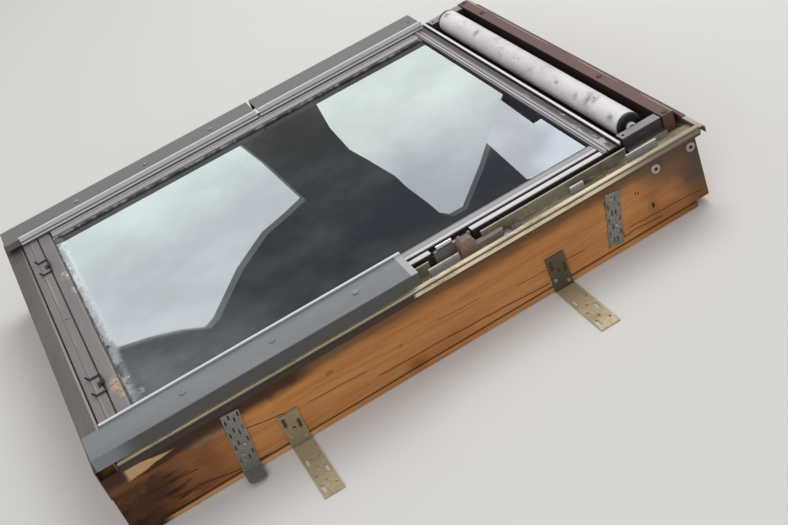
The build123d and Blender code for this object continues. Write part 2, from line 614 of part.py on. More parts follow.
# Sash trims
def make_side_profile():
    wall = PROFILE_WALL
    lip = SIGHT_X + GASKET_SHOW
    crest = lip + BEAD_SLOPE
    bead = lip + BEAD_WIDTH
    groove = bead + GROOVE_WIDTH
    outline = [
        (lip, GASKET_TOP), (lip, GASKET_TOP + wall), (crest, BEAD_TOP), (bead, BEAD_TOP), (bead, GROOVE_Z),
        (groove, GROOVE_Z), (groove, FLANGE_TOP), (SASH_OUT, FLANGE_TOP), (SASH_OUT, FLANGE_BOTTOM),
        (SASH_OUT - wall, FLANGE_BOTTOM), (SASH_OUT - wall, FLANGE_TOP - wall),
        (groove + wall, FLANGE_TOP - wall), (groove + wall, SASH_FACE), (bead - wall, SASH_FACE),
        (bead - wall, BEAD_TOP - wall), (crest, BEAD_TOP - wall),
    ]
    profile = run_y(outline, SIGHT_TOE, SIGHT_TOP)
    profile -= block(groove, SASH_OUT + 1, NOTCH_LOW, NOTCH_HIGH, FLANGE_BOTTOM - 1, FLANGE_TOP + 1)
    return profile


def make_top_profile():
    wall = PROFILE_WALL
    lip = SIGHT_TOP + GASKET_SHOW / 2
    inner = lip + INNER_RIB_WIDTH
    outer = SASH_TOP - OUTER_RIB_WIDTH
    outline = [
        (lip, GASKET_TOP), (lip, TOP_RIB - 2), (lip + 2, TOP_RIB), (inner, TOP_RIB),
        (inner + 0.6, TOP_TROUGH),
        (inner + TOP_CHANNEL - 0.6, TOP_TROUGH), (inner + TOP_CHANNEL, TOP_FLAT + 0.8),
        (outer - TOP_CHANNEL, TOP_FLAT), (outer - TOP_CHANNEL + 0.6, TOP_TROUGH),
        (outer - 0.6, TOP_TROUGH), (outer, TOP_RIB + 0.5), (SASH_TOP, TOP_RIB + 0.5),
        (SASH_TOP, FLANGE_BOTTOM),
        (SASH_TOP - wall, FLANGE_BOTTOM), (SASH_TOP - wall, TOP_TROUGH - wall),
        (TIMBER_TOP - 6, TOP_TROUGH - wall), (TIMBER_TOP - 6, SASH_FACE), (TIMBER_TOP - 6 - wall, SASH_FACE),
        (TIMBER_TOP - 6 - wall, TOP_TROUGH - wall), (inner - 0.8, TOP_TROUGH - wall),
        (inner - 0.8, GASKET_TOP),
    ]
    return run_x(outline, -SASH_OUT, SASH_OUT)


def make_bottom_profile():
    wall = PROFILE_WALL
    line = SASH_TOE + SHELF_LINE
    lip = SIGHT_TOE - GASKET_SHOW / 2
    foot = TIMBER_TOE + 8
    step = lip - 6
    outline = [
        (SASH_TOE, FLANGE_BOTTOM), (SASH_TOE, SHELF_Z - 2), (SASH_TOE + 2, SHELF_Z), (line, SHELF_Z),
        (line + 0.5, SHELF_GROOVE_Z), (line + SHELF_GROOVE, SHELF_GROOVE_Z),
        (line + SHELF_GROOVE + 0.5, SHELF_Z),
        (step, SHELF_Z), (lip, GASKET_TOP + 0.8), (lip, GASKET_TOP), (step, GASKET_TOP),
        (foot + wall, GASKET_TOP - 0.8), (foot + wall, SASH_FACE), (foot, SASH_FACE),
        (foot, GASKET_TOP - 0.8),
        (SASH_TOE + wall, GASKET_TOP - 0.8), (SASH_TOE + wall, FLANGE_BOTTOM),
    ]
    x, y = SHELF_SCREW
    trim = run_x(outline, -SASH_OUT, SASH_OUT)
    return trim - rod_z(COVER_SCREW_SHANK + SCREW_PLAY, x, SASH_TOE + y, GASKET_TOP - 3, SHELF_Z + 1)


def make_hook():
    """Bent wire staple, open down the slope, that the drawn blind is hooked to."""
    z = SHELF_Z + HOOK_WIRE
    line = SASH_TOE + HOOK_LINE
    left, right = HOOK_X - HOOK_HALF, HOOK_X + HOOK_HALF
    points = [
        (left, line - HOOK_REACH, z + HOOK_RISE), (left, line - HOOK_REACH + 3, z),
        (left, line, z), (right, line, z), (right, line - HOOK_REACH + 3, z),
        (right, line - HOOK_REACH, z + HOOK_RISE),
    ]
    path = FilletPolyline(*points, radius=2.2)
    wire = sweep(Plane(origin=path @ 0, z_dir=path % 0) * RegularPolygon(HOOK_WIRE, 8), path)
    pad = block(HOOK_X - 7, HOOK_X + 7, line - 9, line - HOOK_WIRE - 0.4, SHELF_Z, SHELF_Z + 1.2)
    strap = block(HOOK_X - 5, HOOK_X + 5, line - 4, line + 3, SHELF_Z + 2 * HOOK_WIRE,
                  SHELF_Z + 2 * HOOK_WIRE + 1.2)
    post = block(HOOK_X - 5, HOOK_X + 5, line - 4, line - HOOK_WIRE - 0.4, SHELF_Z,
                 SHELF_Z + 2 * HOOK_WIRE + 0.6)
    return wire, pad + post + strap


# Side covers
def cover_outline(flange_bottom):
    lip = COVER_TOP + COVER_LIP
    path = [(LIP_X, flange_bottom), (LIP_X, lip), (LIP_X + COVER_LIP_WIDTH, lip),
            (LIP_X + COVER_LIP_WIDTH + 1.5, COVER_TOP), (COVER_OUT, COVER_TOP), (COVER_OUT, COVER_FLANGE_Z)]
    return folded(path, COVER_WALL)


def cover_body(flange_bottom, y0, y1):
    sheet = run_y(cover_outline(flange_bottom), y0, y1)
    edge = sheet.edges().filter_by(Axis.Y).group_by(Axis.X)[-1].sort_by(Axis.Z)[-1]
    return fillet(edge, COVER_WALL * 0.9)


def make_lower_cover():
    body = cover_body(BEAD_TOP, SASH_TOE + 2, COVER_JOINT)
    inner = LIP_X + COVER_LIP_WIDTH + 1.0
    toe_path = [(inner, CLADDING_BACK_Z + 8), (inner, COVER_TOP), (COVER_OUT, COVER_TOP),
                (COVER_OUT, COVER_FLANGE_Z)]
    toe = run_y(folded(toe_path, COVER_WALL), COVER_TOE, SASH_TOE + 2)
    edge = toe.edges().filter_by(Axis.Y).group_by(Axis.X)[-1].sort_by(Axis.Z)[-1]
    toe = fillet(edge, COVER_WALL * 0.9)
    under = COVER_TOP - COVER_WALL
    toe_end = block(inner + COVER_WALL, COVER_OUT - COVER_WALL, COVER_TOE, COVER_TOE + COVER_WALL,
                    CLADDING_BACK_Z + 4, under)
    top_end = block(LIP_X + COVER_LIP_WIDTH + 2, COVER_OUT - COVER_WALL, COVER_JOINT - COVER_WALL,
                    COVER_JOINT,
                    BEAD_TOP + COVER_END_CLEAR, under)
    cover = joined([body, toe, toe_end, top_end])
    for y in COVER_SCREW_Y:
        cover -= rod_z(COVER_SCREW_SHANK + SCREW_PLAY, SCREW_X, y, under - 1, COVER_TOP + 1)
    return cover


def make_cover_clip(y):
    """Bracket from the sash trim out under the cover."""
    inner = SASH_OUT - 8
    path = [(inner, FLANGE_TOP), (inner, CLIP_ARM_Z), (inner, COVER_TOP - COVER_WALL),
            (SCREW_X + 8, COVER_TOP - COVER_WALL), (SCREW_X + 8, CLIP_ARM_Z), (SASH_OUT, CLIP_ARM_Z),
            (SASH_OUT, FLANGE_TOP)]
    clip = run_y(path, y - CLIP_WIDTH / 2, y + CLIP_WIDTH / 2)
    return clip - rod_z(COVER_SCREW_SHANK + SCREW_PLAY, SCREW_X, y, CLIP_ARM_Z - 1, COVER_TOP)


def make_upper_cover():
    start = COVER_JOINT + COVER_JOINT_GAP
    cover = cover_body(BEAD_TOP + UPPER_COVER_CLEAR, start, UPPER_COVER_END)
    under = COVER_TOP - COVER_WALL
    cover -= block(LIP_X - 1, LIP_X + COVER_WALL + 1, SIGHT_TOP - 2, UPPER_COVER_END + 1,
                   BEAD_TOP, TOP_RIB + COVER_END_CLEAR)
    end = block(LIP_X + COVER_LIP_WIDTH + 2, COVER_OUT - COVER_WALL, UPPER_COVER_END - COVER_WALL,
                UPPER_COVER_END,
                BEAD_TOP + COVER_END_CLEAR, under)
    legs = [block(CLIP_X, CLIP_X + CLIP_THICK, low + 4, high - 4, CLIP_TOP, under)
            for low, high in CLIP_RUNS if high < UPPER_COVER_END]
    cover = joined([cover, end] + legs)
    return cover - rod_z(COVER_SCREW_SHANK + SCREW_PLAY, SCREW_X, UPPER_COVER_END - 14, under - 1,
                         COVER_TOP + 1)


def make_clip_rails():
    """Low aluminium clips in the trim, which hold the upper side cover."""
    rails = []
    for low, high in CLIP_RUNS:
        path = [(CLIP_X + CLIP_THICK + 8, TRIM_FLOOR), (CLIP_X, TRIM_FLOOR), (CLIP_X, CLIP_TOP),
                (CLIP_X + CLIP_THICK, CLIP_TOP), (CLIP_X + CLIP_THICK, TRIM_FLOOR + 1.6),
                (CLIP_X + CLIP_THICK + 8, TRIM_FLOOR + 1.6)]
        rails.append(run_y(path, low, high))
    return rails


# Pivot hinges
def base_screw_x():
    return (HOUSING_OUT + RAIL_X + TRIM_WALL + 1 + BASE_WIDTH) / 2


def base_screws():
    return (HOUSING_Y + HOUSING_HALF + 8, HOUSING_Y + BASE_HIGH - 10)


def leaf_screws():
    return [(PIVOT_Y + along, PIVOT_Z + up) for along, up in LEAF_SCREWS]


def arc_band(radius, width, start, stop, x0, x1):
    """Band bent round the pivot axis between two angles."""
    plane = Plane(origin=(x0, PIVOT_Y, PIVOT_Z), x_dir=(0, 1, 0), z_dir=(1, 0, 0))
    full = extrude(plane * (Circle(radius + width / 2) - Circle(radius - width / 2)), x1 - x0)
    reach = 2 * (radius + width)
    steps = 6
    fan = [(0, 0)]
    for i in range(steps + 1):
        turn = math.radians(start + (stop - start) * i / steps)
        fan.append((reach * math.cos(turn), reach * math.sin(turn)))
    return full & extrude(plane * make_face(Polyline(*fan, close=True)), x1 - x0)


def countersunk_x(y, z, seat, tip, grow=0.0):
    """Countersunk screw lying across the window, its head flush with the given face."""
    radius = LEAF_SCREW_HEAD + grow
    shank = COVER_SCREW_SHANK + grow
    plane = Plane(origin=(tip, y, z), x_dir=(0, 1, 0), z_dir=(1, 0, 0))
    outline = Polyline((0, 0), (shank, 0), (shank, seat - tip - radius + shank), (radius, seat - tip),
                       (0, seat - tip), close=True)
    side = Plane(origin=(tip, y, z), x_dir=(0, 1, 0), z_dir=(0, 0, -1))
    return revolve(side * make_face(outline), Axis(origin=(tip, y, z), direction=(1, 0, 0)))


def make_hinge_base():
    """Half-round track for the ring segment, with its housing and arm on the frame trim."""
    near, far = HOUSING_IN, HOUSING_OUT
    base_in = RAIL_X + TRIM_WALL + 1
    base = block(base_in, base_in + BASE_WIDTH, HOUSING_Y - BASE_LOW, HOUSING_Y + BASE_HIGH,
                 TRIM_FLOOR, TRIM_FLOOR + BASE_THICK)
    base = fillet(base.edges().filter_by(Axis.Z), 3)
    face = Plane(origin=(near, HOUSING_Y, 0), x_dir=(0, 1, 0), z_dir=(1, 0, 0))
    shoulder = HOUSING_TOP - 8
    outline = make_face(Polyline((-HOUSING_HALF, TRIM_FLOOR), (HOUSING_HALF, TRIM_FLOOR),
                                 (HOUSING_HALF, shoulder),
                                 (HOUSING_HALF - 5, HOUSING_TOP), (-HOUSING_HALF + 5, HOUSING_TOP),
                                 (-HOUSING_HALF, shoulder), close=True))
    housing = extrude(face * outline, HOUSING_WIDTH)
    housing = fillet(housing.edges().filter_by(Axis.X).group_by(Axis.Z)[-1], 2.5)
    arm_in = far - ARM_WIDTH
    arm_end = HOUSING_Y + BASE_HIGH - 14
    arm = block(arm_in, far, HOUSING_Y + HOUSING_HALF - 1, arm_end, TRIM_FLOOR, ARM_TOP)
    nose = Pos((arm_in + far) / 2, arm_end, (TRIM_FLOOR + ARM_TOP) / 2) * Cylinder(
        ARM_WIDTH / 2, ARM_TOP - TRIM_FLOOR)
    channel = RING_WIDTH + 2 * RING_PLAY
    track = arc_band(RING_RADIUS, channel + 2 * TRACK_WALL, TRACK_FROM, TRACK_TO, JAMB_IN,
                     JAMB_IN + TRACK_DEPTH)
    track -= block(JAMB_IN - 1, far, HOUSING_Y - 30, HOUSING_Y + 30, HOUSING_TOP, PIVOT_Z)
    whole = joined([base, housing, arm, nose, track])
    whole -= arc_band(RING_RADIUS, channel, TRACK_FROM - 4, TRACK_TO + 6, JAMB_IN - 1,
                      JAMB_IN + TRACK_DEPTH - TRACK_BACK)
    for y in base_screws():
        whole -= rod_z(COVER_SCREW_SHANK + SCREW_PLAY, base_screw_x(), y, TRIM_FLOOR - 1, ARM_TOP + 1)
    return whole


def make_hinge_leaf():
    """Leaf on the sash side with the ring segment."""
    leaf = block(STILE_OUT, LEAF_FACE, PIVOT_Y + LEAF_LOW, PIVOT_Y + LEAF_HIGH,
                 PIVOT_Z - LEAF_BOTTOM, PIVOT_Z - LEAF_TOP)
    leaf = fillet(leaf.edges().filter_by(Axis.X), 4)
    ring_end = JAMB_IN + TRACK_DEPTH - TRACK_BACK - RING_PLAY
    leaf = leaf + arc_band(RING_RADIUS, RING_WIDTH, RING_FROM, RING_TO, LEAF_FACE - 1, ring_end)
    for y, z in leaf_screws():
        leaf -= countersunk_x(y, z, LEAF_FACE, STILE_OUT - 1, SCREW_PLAY)
    return leaf


def make_leaf_fixings():
    return [countersunk_x(y, z, LEAF_FACE, LEAF_FACE - LEAF_SCREW_LENGTH) for y, z in leaf_screws()]


def make_base_fixings():
    seat = TRIM_FLOOR + BASE_THICK
    return [pan_screw_z(base_screw_x(), y, seat, seat - LEAF_SCREW_LENGTH) for y in base_screws()]


def make_hinge_spring():
    """Ribbed friction spring lying on the leaf, in the notch of the sash trim."""
    groove = SIGHT_X + GASKET_SHOW + BEAD_WIDTH + GROOVE_WIDTH
    radius = (SASH_OUT - groove - PROFILE_WALL) / 2 - 0.3
    x = groove + PROFILE_WALL + radius + 0.2
    z = PIVOT_Z - LEAF_TOP + radius
    low = PIVOT_Y + SPRING_START
    plane = Plane(origin=(x, low, z), x_dir=(1, 0, 0), z_dir=(0, 1, 0))
    spring = extrude(plane * Circle(radius), SPRING_LENGTH)
    step = 3.0
    for i in range(int((SPRING_LENGTH - 4) / step)):
        groove_plane = Plane(origin=(x, low + 2.6 + i * step, z), x_dir=(1, 0, 0), z_dir=(0, 1, 0))
        spring -= extrude(groove_plane * (Circle(radius + 1) - Circle(radius - 0.6)), 1.0)
    return spring


# Room side
def make_flap():
    y = LUG_Y
    z = SASH_ROOM_Z - LUG_DROP
    board = block(-FLAP_HALF, FLAP_HALF, y - FLAP_WIDTH, y, z - FLAP_THICK / 2, z + FLAP_THICK / 2)
    barrel = rod_x(FLAP_BARREL, -FLAP_HALF, FLAP_HALF, y, z)
    flap = board - block(-FLAP_HALF - 1, FLAP_HALF + 1, y, y + 1, z - 10, z + 10) + barrel
    pins = rod_x(FLAP_PIN, -FLAP_HALF - 1 - LUG_THICK, FLAP_HALF + 1 + LUG_THICK, y, z)
    return flap + pins


def make_lugs():
    lugs = []
    z = SASH_ROOM_Z - LUG_DROP
    for side in (-1, 1):
        x0 = side * (FLAP_HALF + 1)
        x1 = side * (FLAP_HALF + 1 + LUG_THICK)
        face = Plane(origin=(min(x0, x1), LUG_Y, 0), x_dir=(0, 1, 0), z_dir=(1, 0, 0))
        toe = LUG_HALF - FLAP_PIN
        outline = make_face(Polyline((-LUG_HALF, SASH_ROOM_Z), (LUG_HALF, SASH_ROOM_Z), (toe, z - LUG_DROP),
                                     (-toe, z - LUG_DROP), close=True))
        lug = extrude(face * outline, LUG_THICK)
        lugs.append(lug - rod_x(FLAP_PIN + PIN_PLAY, min(x0, x1) - 1, max(x0, x1) + 1, LUG_Y, z))
    return lugs


def make_control_bar():
    """Hollow pull bar along the free edge of the flap."""
    low = LUG_Y - FLAP_WIDTH
    top = SASH_ROOM_Z - LUG_DROP - FLAP_THICK / 2
    y0, y1 = low, low + BAR_WIDTH
    outline = [(y0, top), (y0, top - BAR_DROP + 5), (y0 + 4, top - BAR_DROP), (y1 - 4, top - BAR_DROP),
               (y1, top - BAR_DROP + 5), (y1, top)]
    bar = run_x(outline, -FLAP_HALF, FLAP_HALF)
    w = BAR_WALL
    hollow = [(y0 + w, top - w), (y0 + w, top - BAR_DROP + 5.5), (y0 + 5, top - BAR_DROP + w),
              (y1 - 5, top - BAR_DROP + w), (y1 - w, top - BAR_DROP + 5.5), (y1 - w, top - w)]
    caps = []
    for x0, x1 in ((-FLAP_HALF - BAR_CAP, -FLAP_HALF), (FLAP_HALF, FLAP_HALF + BAR_CAP)):
        caps.append(run_x(outline, x0, x1))
    return bar - run_x(hollow, -FLAP_HALF - 1, FLAP_HALF + 1), caps


def make_lock():
    middle = LOCK_Z + LOCK_HEIGHT / 2
    case = block(-LOCK_HALF, LOCK_HALF, TIMBER_TOP - LOCK_REACH, TIMBER_TOP, LOCK_Z, LOCK_Z + LOCK_HEIGHT)
    half = TONGUE_THICK / 2
    play = TONGUE_PLAY
    case -= block(-TONGUE_HALF - play, TONGUE_HALF + play, TIMBER_TOP - TONGUE_LENGTH - TONGUE_SET_BACK - 0.4,
                  TIMBER_TOP + 1, middle - half - play, middle + half + play)
    tongue = block(-TONGUE_HALF, TONGUE_HALF, TIMBER_TOP - TONGUE_LENGTH - TONGUE_SET_BACK,
                   TIMBER_TOP - TONGUE_SET_BACK, middle - half, middle + half)
    nose = tongue.edges().filter_by(Axis.X).group_by(Axis.Y)[-1].sort_by(Axis.Z)[0]
    return case, chamfer(nose, 3.0)


def make_strike():
    middle = LOCK_Z + LOCK_HEIGHT / 2
    half_x = TONGUE_HALF + STRIKE_PLAY
    half_z = TONGUE_THICK / 2 + STRIKE_PLAY
    plate = block(-half_x - STRIKE_MARGIN, half_x + STRIKE_MARGIN, HEAD_IN, HEAD_IN + STRIKE_PLATE,
                  middle - half_z - STRIKE_MARGIN, middle + half_z + STRIKE_MARGIN)
    return plate - block(-half_x, half_x, HEAD_IN - 1, HEAD_IN + STRIKE_PLATE + 1, middle - half_z,
                         middle + half_z)


# Blind roller
def make_roller_bracket():
    """Inverted channel on the shelf of the edge trim, with a bore for the axle."""
    out = BRACKET_IN + BRACKET_WIDTH
    path = [(BRACKET_IN, BRACKET_SEAT), (BRACKET_IN, BRACKET_TOP), (out, BRACKET_TOP), (out, BRACKET_SEAT)]
    y0 = BRACKET_Y
    channel = run_y(folded(path, BRACKET_WALL), y0, y0 + BRACKET_LENGTH)
    front = block(BRACKET_IN + BRACKET_WALL, out - BRACKET_WALL, y0, y0 + BRACKET_WALL,
                  BRACKET_SEAT, BRACKET_TOP - BRACKET_WALL)
    bracket = channel + front
    bracket -= rod_x(AXLE_RADIUS + PIN_PLAY, BRACKET_IN - 1, BRACKET_IN + BRACKET_WALL + 1, ROLL_Y, ROLL_Z)
    return bracket - rod_z(BRACKET_HOLE, BRACKET_IN + BRACKET_WIDTH / 2, y0 + 7, BRACKET_TOP - 4,
                           BRACKET_TOP + 1)


def make_roll_cap():
    cap = rod_x(ROLL_CAP_RADIUS, ROLL_HALF, CAP_END, ROLL_Y, ROLL_Z)
    cap -= rod_x(ROLL_CAP_RADIUS - 4, CAP_END - 2.5, CAP_END + 1, ROLL_Y, ROLL_Z)
    hub = rod_x(BUSH_RADIUS + 2, CAP_END - 3, CAP_END, ROLL_Y, ROLL_Z)
    return cap + hub - rod_x(AXLE_RADIUS + 0.05, ROLL_HALF - 1, CAP_END + 1, ROLL_Y, ROLL_Z)


def make_roll_bush():
    bush = rod_x(BUSH_RADIUS, CAP_END, BUSH_END, ROLL_Y, ROLL_Z)
    bush = fillet(bush.edges().group_by(Axis.X)[-1], 1.5)
    return bush - rod_x(AXLE_RADIUS + 0.05, CAP_END - 1, BUSH_END + 1, ROLL_Y, ROLL_Z)


# Straps and angle brackets
def perforated(sheet, strap, plane):
    """Cuts the slots of a strap."""
    for y, z in strap.slots():
        slot = Plane(origin=(JAMB_OUT - 1, y, z), x_dir=plane.y_dir, z_dir=(1, 0, 0)) * SlotOverall(
            STRAP_SLOT_LENGTH, STRAP_SLOT_WIDTH)
        sheet -= extrude(slot, STRAP_THICK + 2)
    return sheet


def strap_plane(strap):
    plane = Plane(origin=(JAMB_OUT, strap.middle, strap.low + strap.length / 2), x_dir=(0, 1, 0),
                  z_dir=(1, 0, 0))
    return plane * Rot(0, 0, math.degrees(strap.turn))


def make_lower_strap():
    """Strap with its foot bent out from the timber."""
    plane = Plane(strap_plane(LOWER_STRAP))
    half_l, half_w = STRAP_LENGTH / 2, STRAP_WIDTH / 2
    sheet = extrude(plane * Rectangle(STRAP_WIDTH, STRAP_LENGTH), STRAP_THICK)
    sheet = perforated(sheet, LOWER_STRAP, plane)
    foot = extrude(plane * Pos(0, -half_l + STRAP_THICK / 2, 0) * Rectangle(STRAP_WIDTH, STRAP_THICK),
                   STRAP_TOE)
    corners = foot.edges().filter_by(lambda edge: abs(edge.length - STRAP_THICK) < 0.01).group_by(Axis.X)[-1]
    return sheet + fillet(corners, STRAP_CORNER)


def make_upper_strap():
    plane = Plane(strap_plane(UPPER_STRAP))
    sheet = extrude(plane * Rectangle(UPPER_STRAP_WIDTH, UPPER_STRAP_LENGTH), STRAP_THICK)
    return perforated(sheet, UPPER_STRAP, plane)


def make_angle(y):
    """Angle bracket, its foot level with the room face of the frame."""
    out = JAMB_OUT + ANGLE_FOOT
    path = [(JAMB_OUT, ANGLE_LEG), (JAMB_OUT + ANGLE_THICK, ANGLE_LEG), (JAMB_OUT + ANGLE_THICK, ANGLE_THICK),
            (out, ANGLE_THICK), (out, 0), (JAMB_OUT, 0)]
    angle = run_y(path, y - ANGLE_WIDTH / 2, y + ANGLE_WIDTH / 2)
    bend = angle.edges().filter_by(Axis.Y).sort_by_distance((JAMB_OUT, y, 0))[0]
    angle = fillet(bend, ANGLE_THICK)
    for column, x in FOOT_SLOTS:
        slot = Pos(JAMB_OUT + x, y + column * ANGLE_COLUMN,
                   -1) * SlotOverall(ANGLE_SLOT_LENGTH, ANGLE_SLOT_WIDTH)
        angle -= extrude(slot, ANGLE_THICK + 2)
    for column, x in FOOT_HOLES:
        angle -= rod_z(ANGLE_HOLE, JAMB_OUT + x, y + column * ANGLE_COLUMN, -1, ANGLE_THICK + 1)
    for column, up in LEG_SLOTS:
        face = Plane(origin=(JAMB_OUT - 1, y + column * ANGLE_COLUMN, up), x_dir=(0, 0, 1), z_dir=(1, 0, 0))
        angle -= extrude(face * SlotOverall(ANGLE_SLOT_LENGTH, ANGLE_SLOT_WIDTH), ANGLE_THICK + 2)
    for column, up in LEG_HOLES:
        angle -= rod_x(ANGLE_HOLE, JAMB_OUT - 1, JAMB_OUT + ANGLE_THICK + 1, y + column * ANGLE_COLUMN, up)
    for column, up in LEG_NAILS:
        angle -= rod_x(NAIL_SHANK + SCREW_PLAY, JAMB_OUT - 1, JAMB_OUT + ANGLE_THICK + 1,
                       y + column * ANGLE_COLUMN, up)
    return angle


def make_side_nails():
    """Flat-headed nails of the straps and brackets."""
    nails = []
    for y, z, face in side_nails():
        seat = JAMB_OUT + face
        head = rod_x(NAIL_HEAD, seat, seat + NAIL_RISE, y, z)
        head = chamfer(head.edges().group_by(Axis.X)[-1], NAIL_RISE / 2)
        nails.append(head + rod_x(NAIL_SHANK, JAMB_OUT - NAIL_LENGTH, seat, y, z))
    return nails


def make_washers():
    washers = []
    for y, z in WASHERS:
        washer = rod_x(WASHER_RADIUS, JAMB_OUT, JAMB_OUT + WASHER_THICK, y, z)
        washer = chamfer(washer.edges().group_by(Axis.X)[-1], WASHER_THICK / 2)
        washers.append(washer - rod_x(WASHER_BORE, JAMB_OUT - 1, JAMB_OUT + WASHER_THICK + 1, y, z))
    return washers


# Frame
jamb = make_jamb()
save("jamb_right", jamb)
save("jamb_left", flip(jamb))
save("head", make_head())
save("sill", make_sill())
edge_trim = make_edge_trim()
save("edge_trim_right", edge_trim)
save("edge_trim_left", flip(edge_trim))
save("head_trim", make_head_trim())
save("sill_cladding", make_sill_cladding())
save("head_plate", make_head_plate())
save("head_plate_screws", *[pan_screw_z(x, plate_screw_y(), HEAD_PLATE_TOP,
                                        HEAD_PLATE_TOP - HEAD_PLATE_SCREW_LENGTH)
                            for x in PLATE_SCREW_X])
save("sill_gasket", block(-STILE_OUT, STILE_OUT, TIMBER_TOE - 4, SILL_LEDGE - 4, LEDGE_TOP,
                          SASH_ROOM_Z - 0.3))
hinge_base = make_hinge_base()
save("hinge_base_right", hinge_base)
save("hinge_base_left", flip(hinge_base))
base_fixings = make_base_fixings()
save("hinge_base_screws", *base_fixings, *[flip(screw) for screw in base_fixings])
clip_rails = make_clip_rails()
save("cover_clips_upper", *clip_rails, *[flip(rail) for rail in clip_rails])
save("upper_cover_left", flip(make_upper_cover()))
bracket = make_roller_bracket()
save("roller_bracket_right", bracket)
save("roller_bracket_left", flip(bracket))
save("strike_plate", make_strike())
strap = make_lower_strap()
upper_strap = make_upper_strap()
save("straps_lower", strap, flip(strap))
save("straps_upper", upper_strap, flip(upper_strap))
for name, y in zip(("lower", "upper"), ANGLE_Y):
    angle = make_angle(y)
    save(f"angle_brackets_{name}", angle, flip(angle))
nails = make_side_nails()
save("strap_nails", *nails, *[flip(nail) for nail in nails])
washers = make_washers()
save("corner_washers", *washers, *[flip(washer) for washer in washers])

# Sash
stile = make_stile()
save("sash_stile_right", stile)
save("sash_stile_left", flip(stile))
save("sash_top_rail", make_top_rail())
save("sash_bottom_rail", make_bottom_rail())
save("outer_pane", block(-GLASS_X, GLASS_X, GLASS_TOE, GLASS_TOP, GLASS_Z - PANE, GLASS_Z))
save("inner_pane", block(-GLASS_X, GLASS_X, GLASS_TOE, GLASS_TOP, UNIT_Z, UNIT_Z + PANE))
save("glass_seal", ring(GLASS_X, GLASS_TOE, GLASS_TOP, EDGE_SEAL, UNIT_Z + PANE, GLASS_Z - PANE))
save("glass_spacer", ring(GLASS_X - EDGE_SEAL, GLASS_TOE + EDGE_SEAL, GLASS_TOP - EDGE_SEAL, SPACER_WIDTH,
                          UNIT_Z + PANE, GLASS_Z - PANE))
save("inner_gasket", ring(GLASS_X, GLASS_TOE, GLASS_TOP, GLASS_BITE, UNIT_Z - BEDDING, UNIT_Z))
save("outer_gasket", ring(SIGHT_X + GASKET_LAND, SIGHT_TOE - GASKET_LAND, SIGHT_TOP + GASKET_LAND,
                          GASKET_LAND,
                          GLASS_Z, GASKET_TOP))
profile = make_side_profile()
save("sash_trim_right", profile)
save("sash_trim_left", flip(profile))
save("sash_trim_top", make_top_profile())
save("sash_trim_bottom", make_bottom_profile())
hook, pad = make_hook()
save("blind_hooks", hook, flip(hook))
save("hook_pads", pad, flip(pad))
cover = make_lower_cover()
save("lower_cover_right", cover)
save("lower_cover_left", flip(cover))
cover_clips = [make_cover_clip(y) for y in COVER_SCREW_Y]
save("cover_clips_lower", *cover_clips, *[flip(clip) for clip in cover_clips])
cover_screws = [pan_screw_z(SCREW_X, y, COVER_TOP, COVER_TOP - SASH_SCREW_LENGTH) for y in COVER_SCREW_Y]
shelf_screw = pan_screw_z(SHELF_SCREW[0], SASH_TOE + SHELF_SCREW[1], SHELF_Z, SHELF_Z - SASH_SCREW_LENGTH)
save("sash_screws", *cover_screws, *[flip(screw) for screw in cover_screws], shelf_screw)
leaf = make_hinge_leaf()
save("hinge_leaf_right", leaf)
save("hinge_leaf_left", flip(leaf))
spring = make_hinge_spring()
save("hinge_springs", spring, flip(spring))
leaf_fixings = make_leaf_fixings()
save("hinge_leaf_screws", *leaf_fixings, *[flip(screw) for screw in leaf_fixings])
lock_case, tongue = make_lock()
save("lock_case", lock_case)
save("flap_lugs", *make_lugs())

# Ventilation flap, latch and blind roller
save("vent_flap", make_flap())
control_bar, bar_caps = make_control_bar()
save("control_bar", control_bar)
save("control_bar_caps", *bar_caps)
save("latch_tongue", tongue)
save("roller_tube", rod_x(TUBE_RADIUS, -ROLL_HALF, ROLL_HALF, ROLL_Y, ROLL_Z))
cloth = rod_x(ROLL_RADIUS, -ROLL_HALF, ROLL_HALF, ROLL_Y, ROLL_Z)
save("blind_cloth", cloth - rod_x(TUBE_RADIUS + 0.05, -ROLL_HALF - 1, ROLL_HALF + 1, ROLL_Y, ROLL_Z))
roll_cap, roll_bush = make_roll_cap(), make_roll_bush()
axle = rod_x(AXLE_RADIUS, ROLL_HALF, ROLL_HALF + ROLL_CAP + AXLE_REACH, ROLL_Y, ROLL_Z)
save("roller_caps", roll_cap, flip(roll_cap))
save("roller_bushes", roll_bush, flip(roll_bush))
save("roller_axles", axle, flip(axle))
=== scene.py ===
# %% [markdown]
# # A weathered roof skylight
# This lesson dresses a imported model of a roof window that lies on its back, room side down.
# The solids come from CAD: timber frame, aluminium trims, glass, covers, hinge, roller and fixing
# straps. Blender adds what the years did to them (stained pine, dusty lacquer, dirt in the
# gutters), the rolled cloth, and the light. Everything is in metres: X runs across the window,
# Y up the slope and Z out through the glass.

